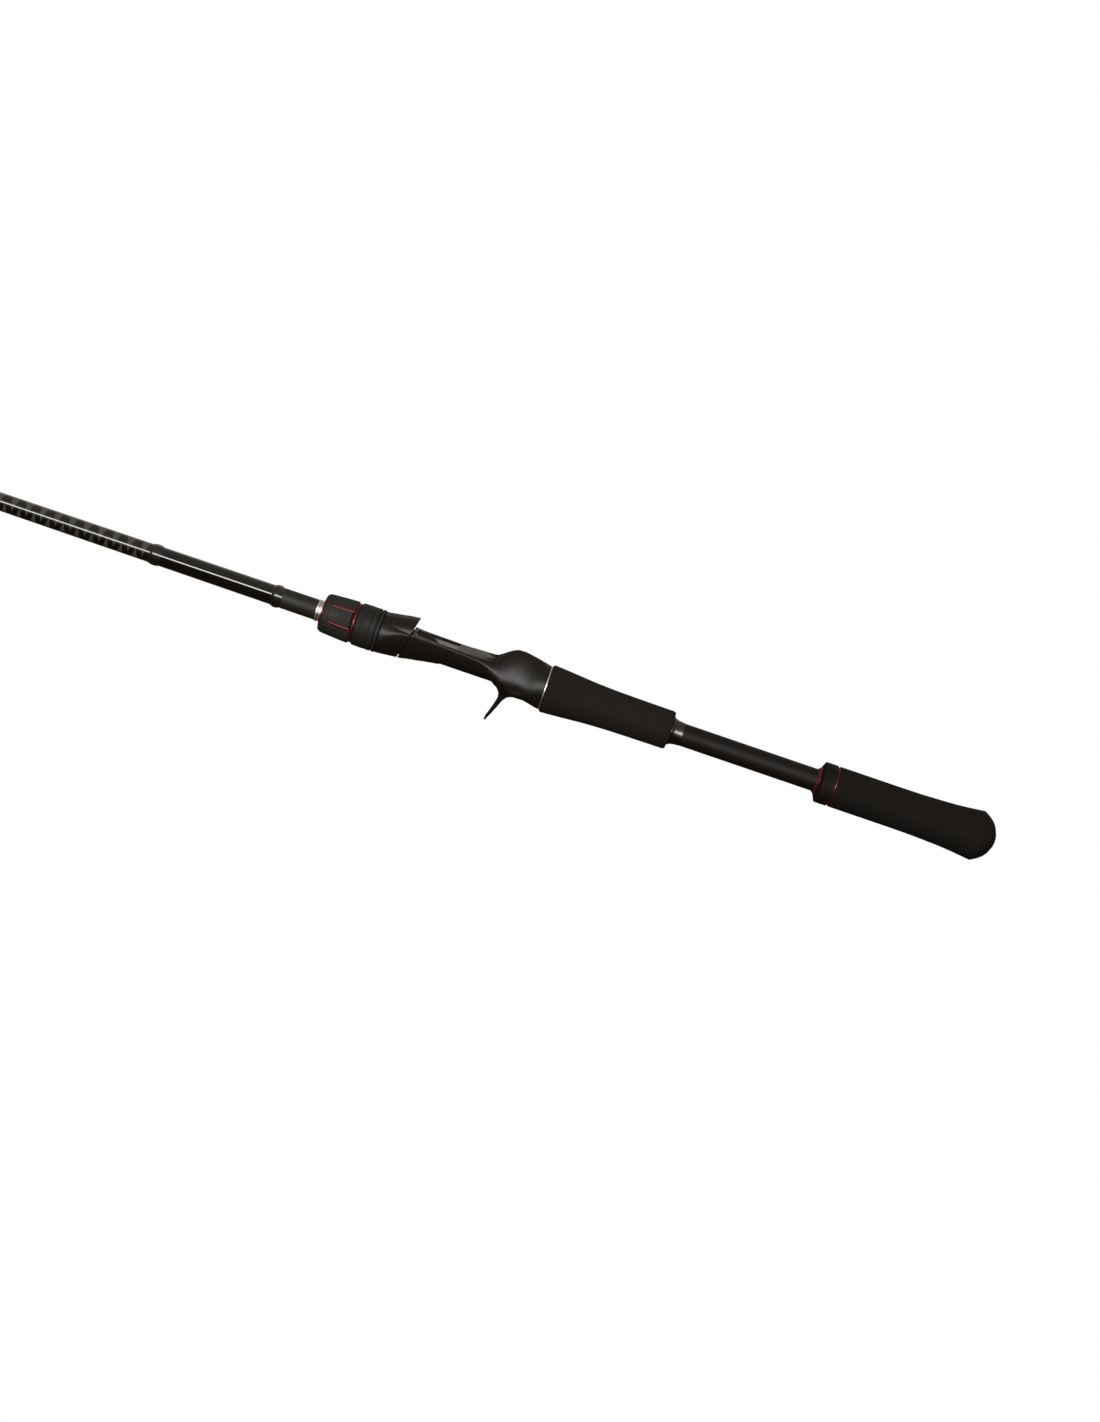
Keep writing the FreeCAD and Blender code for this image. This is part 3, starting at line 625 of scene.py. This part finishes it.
# Each section is an oval: how wide it is, how high it is widest, how far it goes up and down,
# and how round its upper half is, where 2 is an ellipse and less is more like a tent.
widest_at = smooth_table([(-42, -1.6), (-38, 0.0), (-33, 3.4), (-27, 5.6), (-18, 5.5), (5, 5.0),
                          (14, 4.6), (20, 3.2), (26, 0.2), (31, -2.6), (35, -4.6), (38, -5.4),
                          (41, -5.6), (45, -4.4), (49, -2.2), (54, 0.0)])
seat_side = smooth_table([(-30, 9.9), (-25, 9.0), (-18, 8.2), (-8, 7.9), (-3, 7.9), (3, 8.2),
                          (8, 8.7), (14, 9.4), (20, 10.0), (27, 10.6), (34, 10.8), (38, 10.9),
                          (44, 11.5), (50, 12.2), (54, 12.4)])
seat_top = smooth_table([(-30, 9.6), (-18, 8.6), (-3, 7.8), (3, 7.4), (8, 7.3), (14, 7.6),
                         (19.3, 8.1), (23.6, 8.8), (25.9, 10.4), (28.6, 12.6), (31.4, 14.5),
                         (34.6, 15.8), (38, 15.9), (41, 15.5), (46, 14.6), (50, 13.6),
                         (54, 12.4)])
seat_round = smooth_table([(16, 2.0), (24, 1.75), (30, 1.45), (42, 1.42), (48, 1.65), (54, 2.0)])
seat_low = smooth_table([(-40, 10.9), (-28, 10.7), (-23.3, 9.8), (-17.4, 8.8), (-11.6, 7.7),
                         (-5.7, 6.85), (-2.5, 6.6), (24, 6.6), (28, 7.8), (31, 9.3),
                         (36, 10.4), (43.5, 10.1), (48, 11.0), (52, 12.1), (54, 12.4)])
deck_rise = smooth_table([(-27, 7.1), (-18, 6.45), (8, 6.45), (11, 6.9), (14, 20), (16, 30)])
window_half = smooth_table([(-22.2, 0.0), (-21.8, 3.0), (-20.8, 4.6), (-18, 5.4), (-14, 5.8),
                            (-9, 6.1), (2.2, 6.5)])
lip_half = smooth_table([(2, 12.0), (6, 10.5), (10.5, 8.7), (15, 7.2), (17.8, 5.9), (20.5, 4.5),
                         (23.3, 3.0), (25.5, 1.3), (26.8, -0.4), (29, -2.0)])
pocket_top = smooth_table([(24, 7.2), (27, 8.2), (30, 9.8), (33, 10.8), (40, 10.8)])
belly_rise = smooth_table([(-14, -14), (-8, -8.8), (-5.5, -6.4), (-3.5, -4.6), (-0.5, -3.3),
                           (3.9, -2.8), (9.4, -2.3), (19.3, -2.0), (22.6, -2.6), (24.8, -4.2),
                           (27, -7.0), (30.5, -14)])
TRIGGER = [(33.8, -7.8, 3.4), (33.1, -11.2, 2.2), (32.35, -14.4, 1.35), (31.2, -18.4, 1.05),
           (29.8, -22.4, 0.82), (28.3, -26.4, 0.6), (27.85, -27.6, 0.48)]


def oval(y, z, side, up, down, power=2.0):
    """How far a point lies outside a section made of an upper and a lower half."""
    away = np.hypot(y, z) + 1e-9
    bend = np.where(z > 0, power, 2.0)
    high = np.where(z > 0, up, down)
    scaled = (np.abs(y / side) ** bend + np.abs(z / high) ** bend) ** (1 / bend) + 1e-9
    return away - away / scaled


def chain(x, z, knots):
    """How far a point lies outside a chain of tapering strokes in the side view."""
    nearest = None
    for (x0, z0, t0), (x1, z1, t1) in zip(knots, knots[1:]):
        dx, dz = x1 - x0, z1 - z0
        share = np.clip(((x - x0) * dx + (z - z0) * dz) / (dx * dx + dz * dz), 0, 1)
        away = np.hypot(x - x0 - share * dx, z - z0 - share * dz) - (t0 + share * (t1 - t0))
        nearest = away if nearest is None else smooth_min(nearest, away, 0.3)
    return nearest


def slanted(x, z, edge):
    """Distance ahead of the slanted joint between hood and seat."""
    return (edge - x) * math.cos(SLANT) + z * math.sin(SLANT)


def seat_field(x, y, z):
    away = np.hypot(y, z)
    middle = widest_at(x)
    body = oval(y, z - middle, seat_side(x), seat_top(x) - middle, seat_low(x) + middle,
                seat_round(x))
    waist = np.exp(-((x - 39) / 8) ** 2 - ((z + 5.2) / 3.0) ** 2)
    skin = body + waist
    body = smooth_max(skin, z - deck_rise(x), 0.35)
    body = smooth_max(body, belly_rise(x) - z, 0.8)
    blade_half = 5.0 - 1.9 * np.clip((-z - 10) / 18, 0, 1)
    blade = smooth_max(chain(x, z, TRIGGER), np.abs(y) - blade_half, 0.8)
    body = smooth_min(body, blade, 3.2)
    pocket = np.maximum(np.abs(y) - POCKET_HALF, z - pocket_top(x) + 0.03 * y * y)
    pocket = np.maximum(pocket, np.maximum(POCKET_START_X - x, x - POCKET_END_X))
    pocket = np.maximum(pocket, np.where(x > POCKET_START_X + 1.5, skin + POCKET_WALL, -9))
    open_top = np.maximum(np.abs(y) - lip_half(x), np.maximum(11 - x, x - 27))
    pocket = smooth_max(np.minimum(pocket, open_top), FLOOR_HEIGHT + 0.012 * y * y - z, 0.8)
    body = smooth_max(body, -pocket, 0.5)
    window = np.maximum(np.abs(x - WINDOW_MIDDLE_X) - WINDOW_HALF_LENGTH, 2 - z)
    window = np.maximum(np.abs(y) - window_half(x), window)
    body = smooth_max(body, -window, 0.3)
    body = np.maximum(body, SEAT_BORE - away)
    body = smooth_max(body, slanted(x, z, SEAT_EDGE_X), 0.4)
    return smooth_max(body, x - SEAT_END_X, 0.5)


def make_reel_seat():
    shell = surface(seat_field, (-32, -14, -29.5), (55, 14, 17.5), 0.3)
    piece("seat_body", shell, LOOKS["deck"], "rod", ["reel_seat"], 50)

    start = span("reel_seat")[0]
    xs = np.linspace(start, -27, 300)

    def barrel_radius(x, angles):
        wave = np.abs(((x - start) / THREAD_PITCH - angles / TAU) % 1 * 2 - 1)
        thread = np.clip(wave * 1.9 - 0.45, 0, 1)
        fade = min(1, (x - start) / 2.5, max(0, (-43 - x) / 2))
        chamfer = THREAD_DEPTH if x < start + 0.01 else 0
        radius = THREAD_RADIUS - THREAD_DEPTH * thread * fade - chamfer
        if x > -40:
            upward = np.cos(angles)
            flat = np.where(upward > 0.3, DECK_HEIGHT / np.maximum(upward, 0.3), 99)
            radius = np.minimum(radius, flat)
        return radius

    piece("seat_thread", polar(xs, barrel_radius, 7.0, 144), LOOKS["seat"], "rod",
          [])

    start, end = span("seat_rear_ring")
    rim = reach("seat_rear_ring")
    piece("silver_rear_ring", lathe([
        (start, 6.35), (start, rim - 0.05, 0.3), (end, rim - 0.05, 0.3), (end, 6.35),
    ], 128), LOOKS["silver"], "rod", ["seat_rear_ring"])


# Bore of the nut and the hood, clear of the seat's thread.
NUT_BORE = 8.66
HOOD_WALL = 1.6
HOOD_POCKET_HALF, HOOD_POCKET_FLOOR, HOOD_POCKET_START_X = 7.3, 5.8, -38
hood_side = smooth_table([(-42, 11.7), (-38, 11.6), (-33, 11.1), (-27, 10.5), (-21, 10.0)])
hood_low = smooth_table([(-42, 11.75), (-38, 11.5), (-33, 11.1), (-27, 10.6), (-21, 10.3)])
hood_shoulder = smooth_table([(-42, 11.7), (-38, 11.3), (-33, 10.2), (-27, 8.7), (-21, 8.3)])
hood_top = smooth_table([(-42, 11.5), (-40, 11.7), (-38, 12.0), (-33, 12.8), (-27, 13.9),
                         (-21, 14.6)])
crest_half = smooth_table([(-42, 8.4), (-38, 9.0), (-33, 9.6), (-27, 9.8), (-21, 9.8)])


def hood_pocket(x, y, z):
    """The hollow under the hood that takes the front of the reel's foot."""
    roof = hood_top(x) - HOOD_WALL - HOOD_POCKET_FLOOR
    hollow = oval(y, z - HOOD_POCKET_FLOOR, HOOD_POCKET_HALF, roof, 1.0)
    return smooth_max(hollow, HOOD_POCKET_START_X - x, 0.5)


def hood_field(x, y, z):
    away = np.hypot(y, z)
    middle = widest_at(x)
    body = oval(y, z - middle, hood_side(x), hood_shoulder(x) - middle, hood_low(x) + middle)
    crest = oval(y, z - 5, crest_half(x), hood_top(x) - 5, 4.0)
    body = smooth_min(body, crest, 0.4)
    start = span("hood")[0]
    body = smooth_max(body, start - x, 0.5)
    body = smooth_max(body, -slanted(x, z, HOOD_EDGE_X), 0.35)
    body = smooth_max(body, -hood_pocket(x, y, z), 0.4)
    return np.maximum(body, NUT_BORE - away)


def liner_field(x, y, z):
    """A thin lining of the hood's pocket, short of its mouth."""
    pocket = hood_pocket(x, y, z)
    shell = np.maximum(pocket - 0.1, -0.6 - pocket)
    ends = np.maximum(-37.3 - x, -slanted(x, z, HOOD_EDGE_X - 1.2))
    return np.maximum(shell, np.maximum(7.2 - z, ends))


def make_hood():
    shell = surface(hood_field, (-42, -13, -13), (-20, 13, 15.5), 0.3)
    piece("hood_shell", shell, LOOKS["seat"], "hood", ["hood"], 50)
    liner = surface(liner_field, (-38, -8, 7), (-23, 8, 14), 0.26)
    piece("hood_pad", liner, LOOKS["rubber"], "hood", ["hood_liner"], 60)


# ------------------------------------------------------------------ nut

PANEL_CENTRES = [math.radians(-(70.8 + 120 * k)) for k in range(3)]
PANEL_HALF = math.radians(26.5)


def around_panel(angles):
    """The angle from the nearest panel's middle."""
    away = np.stack([np.abs((angles - centre + math.pi) % TAU - math.pi)
                     for centre in PANEL_CENTRES])
    return away.min(axis=0)


def make_nut():
    start, end = span("nut_grip")
    length = end - start
    outside = smooth_table([(start, 10.0), (start + 0.35, 10.6), (start + 1.2, 10.95),
                            (start + length * 0.5, 11.5), (end - 2.0, 11.9), (end - 0.9, 11.92),
                            (end - 0.3, 11.75), (end, 11.3)])

    def grip_radius(x, angles):
        radius = np.full(len(angles), float(outside(x)))
        away = around_panel(angles)
        on_panel = np.clip((PANEL_HALF - away) / 0.05, 0, 1)
        inside_x = np.clip((x - start - 3.6) / 0.8, 0, 1)
        radius -= 0.3 * on_panel * inside_x
        behind = np.clip((x - (end - 1.15)) / 0.12, 0, 1)
        radius -= 2.5 * on_panel * behind
        ribs = np.cos((away - PANEL_HALF) * 26)
        off_panel = np.clip((away - PANEL_HALF - 0.06) / 0.08, 0, 1)
        ends = np.clip((x - start - 1.2) / 1.5, 0, 1) * np.clip((end - 0.5 - x) / 1.2, 0, 1)
        radius -= 0.09 * (1 - ribs) * off_panel * ends
        return radius

    xs = np.concatenate([np.linspace(start, start + 4, 30), np.linspace(start + 4.3, end - 2, 20),
                         np.linspace(end - 1.9, end, 26)])
    piece("nut_grip_body", polar(xs, grip_radius, NUT_BORE, 480), LOOKS["nut"], "nut",
          ["nut_grip"], 40)

    strips = []
    for centre in PANEL_CENTRES:
        for side in (-1, 1):
            angle = centre + side * PANEL_HALF
            strips.append(strip_on_nut(angle, *span("nut_inlays"), outside))
    piece("nut_red_strips", merged(*strips), LOOKS["red"], "nut", ["nut_inlays"], 50)

    start, end = span("nut_front_ring")
    piece("nut_red_front", lathe([
        (start, 9.15, 0.2), (start, 9.7, 0.3), (start + 0.45, 10.25, 0.2), (end + 0.2, 10.2, 0.1),
        (end + 0.2, 9.15),
    ], 128), LOOKS["red"], "nut", ["nut_front_ring"])
    start, end = span("nut_trim_ring")
    piece("nut_red_ring", lathe([
        (start + 0.02, NUT_BORE), (start + 0.02, 10.9, 0.2), (start + 0.4, 11.2, 0.3),
        (end - 0.3, 11.1, 0.4), (end, 10.4), (end, NUT_BORE),
    ], 128), LOOKS["red"], "nut", ["nut_trim_ring"])
    make_collar()


def strip_on_nut(angle, start, end, outside, half_width=0.55):
    """A rounded strip let into the nut, following its outer radius."""
    across = np.linspace(-1, 1, 9)
    rows = []
    for x in np.linspace(start, end, 40):
        from_end = min(x - start, end - x)
        taper = math.sqrt(np.clip(from_end / 0.5, 0.02, 1))
        ring = []
        for u in across:
            radius = float(outside(x)) + 0.04 - 0.16 * u ** 4
            ring.append((x, u * half_width * taper, radius))
        base = float(outside(x)) - 1.0
        ring += [(x, half_width * taper, base), (x, -half_width * taper, base)]
        rows.append(ring)
    flat = np.array(rows).reshape(-1, 3)
    turn = np.array([[1, 0, 0], [0, math.cos(angle), math.sin(angle)],
                     [0, -math.sin(angle), math.cos(angle)]])
    count = len(rows[0])
    faces = grid_faces(len(rows), count, False)
    faces.append(tuple(range(count)))
    last = (len(rows) - 1) * count
    faces.append(tuple(last + i for i in reversed(range(count))))
    return flat @ turn.T, faces


def make_collar():
    start, end = span("nut_collar")
    rim = reach("nut_collar")
    corners = [(start, NUT_BORE), (start, 11.2, 0.3), (start + 0.9, rim - 0.2, 0.6)]
    for place, depth, width in ((3.4, 0.22, 0.4), (8.3, 0.4, 0.3), (11.7, 1.0, 0.42)):
        corners += [(start + place - width, rim - 0.03, 0.12),
                    (start + place - width * 0.4, rim - depth, 0.08),
                    (start + place + width * 0.4, rim - depth, 0.08),
                    (start + place + width, rim - 0.03, 0.12)]
    corners += [(end, rim - 0.12, 0.35), (end, NUT_BORE)]
    piece("nut_collar_body", lathe(corners, 160), LOOKS["collar"], "nut",
          ["nut_collar"])


# ------------------------------------------------------------------ grips

def make_grips():
    tube_start, tube_end = span("handle_tube")
    bore = TUBE_RADIUS + 0.02
    piece("handle_tube_body", lathe([
        (tube_start, 5.52), (tube_start, TUBE_RADIUS, 0.2), (tube_end, TUBE_RADIUS, 0.2),
        (tube_end, 5.52),
    ], 128), LOOKS["tube"], "rod", ["handle_tube"])

    start, end = span("fore_grip")
    side = curve_points([(start + 1.2, 13.53), (start + 8, 13.1), (start + 17, 12.4),
                         (start + 26, 11.7), (start + 35, 11.3), (start + 42, 11.1),
                         (start + 58, 10.9), (end - 1.2, 10.82)], 40)
    piece("fore_grip_foam", lathe(
        [(start, bore), (start, 13.0, 0.5), (start + 0.5, 13.45, 0.7)] + side
        + [(end - 0.1, 10.4, 0.7), (end, 9.8, 0.3), (end, bore)], 128),
        LOOKS["fore_foam"], "rod", ["fore_grip"])

    start, end = span("fore_grip_check")
    flare = curve_points([(start + 0.5, 7.95), (start + 1.2, 7.5), (start + 2.2, 7.05),
                          (start + 3.6, 6.75), (start + 5, 6.58), (end, 6.5)], 24)
    piece("fore_check_flare", lathe(
        [(start, bore), (start, 7.9, 0.2)] + flare + [(end, bore)], 128),
        LOOKS["gunmetal"], "rod", ["fore_grip_check"])

    start, end = span("butt_check")
    piece("red_check", lathe([
        (start, bore), (start, 6.8, 0.2), (start + 0.45, 7.1, 0.2), (start + 0.7, 7.2, 0.15),
        (start + 1.4, 8.05, 0.4), (start + 1.9, 8.18, 0.2), (end, 8.18), (end, bore),
    ], 128), LOOKS["red"], "rod", ["butt_check"])

    start, end = span("rear_grip_collar")
    rim = reach("rear_grip_collar")
    piece("grip_collar_body", lathe([
        (start, 8.2), (start, 8.4, 0.2), (start + 1.4, rim - 0.1, 0.5), (start + 2.0, rim, 0.3),
        (end - 0.35, rim, 0.3), (end, rim - 0.5, 0.2), (end, bore),
        (start + 2.0, bore), (start + 2.0, 8.2),
    ], 160), LOOKS["rear_collar"], "rod", ["rear_grip_collar"])

    start, end = span("rear_grip_ring")
    piece("grip_red_ring", lathe([
        (start, bore), (start, 10.95), (start + 0.25, 10.8, 0.1), (end - 0.25, 10.8, 0.1),
        (end, 10.95), (end, bore),
    ], 160), LOOKS["red"], "rod", ["rear_grip_ring"])

    start, end = span("rear_grip")
    side = curve_points([(start + 0.6, 11.5), (start + 30, 11.5), (start + 46, 11.6),
                         (start + 55, 11.9), (start + 64, 12.3), (start + 72, 12.9),
                         (start + 78, 13.55), (start + 81.5, 13.95), (start + 82.8, 14.1)], 60)
    plug_start, cap_end = span("butt_plug")
    end_face = [(start + 83.4, 14.18, 0.7), (start + 86.6, 12.3, 2.0), (cap_end - 4.0, 10.15, 2.0),
                (cap_end - 2.1, 7.5, 1.5), (end, 5.75, 0.3), (end - 1.0, 5.6), (end - 1.8, 5.6),
                (end - 1.8, bore)]
    piece("rear_grip_foam", lathe(
        [(start, bore), (start, 11.0, 0.3), (start + 0.3, 11.42, 0.3)] + side + end_face,
        160), LOOKS["rear_foam"], "rod", ["rear_grip"])
    dome = curve_points([(end - 0.05, 5.5), (cap_end - 0.62, 4.2), (cap_end - 0.2, 2.2),
                         (cap_end - 0.01, 0.3)], 12)
    piece("butt_cap", lathe(
        [(plug_start, 0.0), (plug_start, 4.45, 0.3), (end - 2.9, 4.55), (end - 2.9, 5.55),
         (end - 0.2, 5.55, 0.1)] + dome + [(cap_end, 0.0)], 96), LOOKS["rear_foam"], "rod",
        ["butt_plug"])
    dress(LOOKS["arbor"], "arbor", "front_arbor", "rear_arbor")


# ------------------------------------------------------------------ guides

CERAMIC_HALF = 0.62
BAND_HALF_LENGTH = 0.85
FOOT_START = 4.8
FOOT_HEIGHT = 0.62


def ring_place(node):
    """A ceramic ring's place along the rod, its height and its outer radius."""
    low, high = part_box(node)
    return (low.x + high.x) / 2 / MM, (low.z + high.z) / 2 / MM, reach(node)


def ceramic_ring(x, height, outer):
    """A ring with a polished bore: an oval section, longer along the rod than it is thick."""
    radius = outer - CERAMIC_HALF
    section = [(x + CERAMIC_HALF * 1.25 * math.cos(a), radius + CERAMIC_HALF * math.sin(a))
               for a in np.linspace(0, TAU, 20, endpoint=False)]
    return lathe(section, 64, height)


def holder_band(x, height, outer):
    """The metal band that holds a ceramic ring."""
    inside, outside = outer - 0.02, outer + 0.5
    return lathe([
        (x - BAND_HALF_LENGTH, inside, 0.1), (x - BAND_HALF_LENGTH, outside, 0.2),
        (x + BAND_HALF_LENGTH, outside, 0.2), (x + BAND_HALF_LENGTH, inside, 0.1),
    ], 64, height)


def guide_strut(ring_x, height, outer, side, foot_x, foot_z, foot_tip, gauge):
    """One leg: from the ring's flank down to the foot, where it lies along the blank."""
    spread = outer * 0.8
    flank = height - outer * 0.55
    points = [(ring_x, side * spread, flank),
              (ring_x + (foot_x - ring_x) * 0.35, side * spread * 0.8,
               foot_z + (flank - foot_z) * 0.62),
              (ring_x + (foot_x - ring_x) * 0.75, side * spread * 0.45,
               foot_z + (flank - foot_z) * 0.22),
              (foot_x, side * 0.75, foot_z + 0.12),
              (foot_x + (foot_tip - foot_x) * 0.2, side * 0.55, foot_z),
              (foot_tip, side * 0.15, foot_z - 0.1)]
    stations = np.linspace(0, 1, len(points))
    reads = [smooth_table([(s, p[i]) for s, p in zip(stations, points)]) for i in range(3)]
    shares = np.linspace(0, 1, 36)
    fine = [tuple(float(read(u)) for read in reads) for u in shares]
    radii = [gauge * (1 - 0.45 * max(0, (u - 0.6) / 0.4)) for u in shares]
    return tube(fine, radii, 10)


def foot_wrap(start, end):
    """Thread wound over a guide's foot: a round wrap with a ridge along its top."""
    xs = np.linspace(start, end, 44)

    def radius_at(x, angles):
        edge = min(x - start, end - x) / 1.6
        swell = math.sqrt(max(0.0, 1 - (1 - min(edge, 1)) ** 2))
        ridge = np.exp(-(np.minimum(angles, TAU - angles) / 0.42) ** 2)
        return blank_radius(x) + 0.02 + swell * (0.3 + FOOT_HEIGHT * ridge)

    return polar(xs, radius_at, blank_radius(end) * 0.9, 96)


def make_guide(name):
    x, height, outer = ring_place(name + "_ring")
    frame_low, frame_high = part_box(name + "_frame")
    foot_z = frame_low.z / MM + 0.35
    back_tip = frame_high.x / MM
    front_tip = frame_low.x / MM
    two_feet = x - front_tip > 5
    gauge = 0.42 + 0.045 * outer
    parts = [holder_band(x, height, outer)]
    for side in (-1, 1):
        parts.append(guide_strut(x, height, outer, side, x + 4.2, foot_z, back_tip - 0.4, gauge))
        if two_feet:
            parts.append(guide_strut(x, height, outer, side, x - 4.2, foot_z, front_tip + 0.4,
                                     gauge))
    piece(name + "_wire_frame", merged(*parts), LOOKS["steel"], "rod",
          [name + "_frame"])
    piece(name + "_ceramic", ceramic_ring(x, height, outer), LOOKS["ceramic"], "rod",
          [name + "_ring"])
    wrap_low, wrap_high = span(name + "_wrap")
    wraps = [foot_wrap(x + FOOT_START, wrap_high)]
    if two_feet:
        wraps.append(foot_wrap(wrap_low, x - FOOT_START))
    piece(name + "_thread_wrap", merged(*wraps), LOOKS["wrap"], "rod",
          [name + "_wrap"])


def make_tip_top():
    x, height, outer = ring_place("tip_top_ring")
    tube_end = span("tip_top_frame")[1]
    sleeve = lathe([
        (x + 0.6, 0.0), (x + 0.6, 1.3, 0.5), (tube_end, 1.3, 0.3), (tube_end, 0.97),
        (x + 1.6, 0.97), (x + 1.6, 0.0),
    ], 48)
    parts = [holder_band(x, height, outer), sleeve]
    for side in (-1, 1):
        brace = [(x, side * outer * 0.8, height - outer * 0.45),
                 (x + 1.6, side * outer * 0.62, height - outer * 0.85),
                 (x + 4.2, side * 1.0, 1.5), (x + 7.5, side * 0.5, 1.25)]
        parts.append(tube(brace, [0.42, 0.42, 0.4, 0.25], 10))
    piece("tip_top_wire", merged(*parts), LOOKS["steel"], "rod",
          ["tip_top_frame"])
    piece("tip_top_ceramic", ceramic_ring(x, height, outer), LOOKS["ceramic"], "rod",
          ["tip_top_ring"])
    make_wrap("tip_wrap", *span("tip_top_wrap"), 0.25, "tip_top_wrap")


# ------------------------------------------------------------------ stage, light and camera

VIEW_RISE = math.radians(17)
VIEW_ROLL = math.radians(18.87)
VIEW_DISTANCE = 1160.0
AIM_X = 60.8
AIM_DROP = 11.2
LENS = 53.4
SKY_LOW = (0.1, 0.088, 0.076, 1)
SKY_HIGH = (0.4, 0.37, 0.32, 1)
FLOOR_BOUNCE = (0.05, 0.03, 0.016, 1)
WHITE = (1, 1, 1, 1)


def make_camera():
    up_plain = Vector((0, math.sin(VIEW_RISE), math.cos(VIEW_RISE)))
    place = Vector((AIM_X, -VIEW_DISTANCE * math.cos(VIEW_RISE),
                    VIEW_DISTANCE * math.sin(VIEW_RISE)))
    aim = Vector((AIM_X, 0, 0)) - up_plain * AIM_DROP
    back = (place - aim).normalized()
    up = (up_plain * math.cos(VIEW_ROLL) - Vector((1, 0, 0)) * math.sin(VIEW_ROLL))
    right = up.cross(back).normalized()
    up = back.cross(right)
    camera = bpy.data.objects.new("camera", bpy.data.cameras.new("camera"))
    camera.data.lens = LENS
    camera.data.clip_start = 0.01
    camera.data.clip_end = 100
    camera.matrix_world = Matrix.Translation(place * MM) @ Matrix(
        (right, up, back)).transposed().to_4x4()
    bpy.context.scene.collection.objects.link(camera)
    bpy.context.scene.camera = camera


def area_light(name, place, target, size, power):
    light = bpy.data.lights.new(name, "AREA")
    light.shape = "RECTANGLE"
    light.size, light.size_y = size
    light.energy = power
    lamp = bpy.data.objects.new(name, light)
    lamp.location = place
    lamp.rotation_euler = (Vector(place) - Vector(target)).to_track_quat("Z", "Y").to_euler()
    bpy.context.scene.collection.objects.link(lamp)


def white_only_to_camera(tree, dim, bright, output_socket):
    """A bright surface to the eye that lights and reflects as a dimmer one."""
    path = tree.nodes.new("ShaderNodeLightPath")
    mix = tree.nodes.new("ShaderNodeMixShader")
    tree.links.new(path.outputs["Is Camera Ray"], mix.inputs[0])
    tree.links.new(dim, mix.inputs[1])
    tree.links.new(bright, mix.inputs[2])
    tree.links.new(mix.outputs[0], output_socket)


def make_stage():
    scene = bpy.context.scene
    scene.view_settings.view_transform = "Standard"
    world = bpy.data.worlds.new("studio")
    world.use_nodes = True
    scene.world = world
    tree = world.node_tree
    dim = tree.nodes["Background"]
    dim.inputs["Strength"].default_value = 1.0
    direction = tree.nodes.new("ShaderNodeSeparateXYZ")
    tree.links.new(tree.nodes.new("ShaderNodeTexCoord").outputs["Generated"], direction.inputs[0])
    sky = tree.nodes.new("ShaderNodeValToRGB")
    sky.color_ramp.elements[0].position = 0.05
    sky.color_ramp.elements[0].color = SKY_LOW
    sky.color_ramp.elements[1].position = 0.9
    sky.color_ramp.elements[1].color = SKY_HIGH
    tree.links.new(direction.outputs["Z"], sky.inputs["Fac"])
    tree.links.new(sky.outputs["Color"], dim.inputs["Color"])
    bright = tree.nodes.new("ShaderNodeBackground")
    bright.inputs["Color"].default_value = WHITE
    white_only_to_camera(tree, dim.outputs[0], bright.outputs[0],
                         tree.nodes["World Output"].inputs["Surface"])

    floor_half = 40.0
    mesh = bpy.data.meshes.new("floor")
    mesh.from_pydata([(-floor_half, -floor_half, 0), (floor_half, -floor_half, 0),
                      (floor_half, floor_half, 0), (-floor_half, floor_half, 0)],
                     [], [(0, 1, 2, 3)])
    floor = bpy.data.objects.new("floor", mesh)
    floor.location.z = cad_box[0].z - 0.25
    scene.collection.objects.link(floor)
    paint = bpy.data.materials.new("floor_paint")
    paint.use_nodes = True
    tree = paint.node_tree
    shadow = tree.nodes.new("ShaderNodeEmission")
    shadow.inputs["Color"].default_value = FLOOR_BOUNCE
    glow = tree.nodes.new("ShaderNodeEmission")
    glow.inputs["Color"].default_value = WHITE
    white_only_to_camera(tree, shadow.outputs[0], glow.outputs[0],
                         tree.nodes["Material Output"].inputs["Surface"])
    mesh.materials.append(paint)

    area_light("key_strip", (0.0, -1.8, 0.72), (0.0, 0, 0), (3.2, 0.42), 66)
    area_light("back_soft", (0.1, 1.6, 0.9), (0.05, 0, 0), (2.6, 0.5), 3)


make_camera()
make_stage()
make_blank()
make_front_of_handle()
make_reel_seat()
make_hood()
make_nut()
make_grips()
for number in range(1, 9):
    make_guide(f"guide_{number}")
make_tip_top()
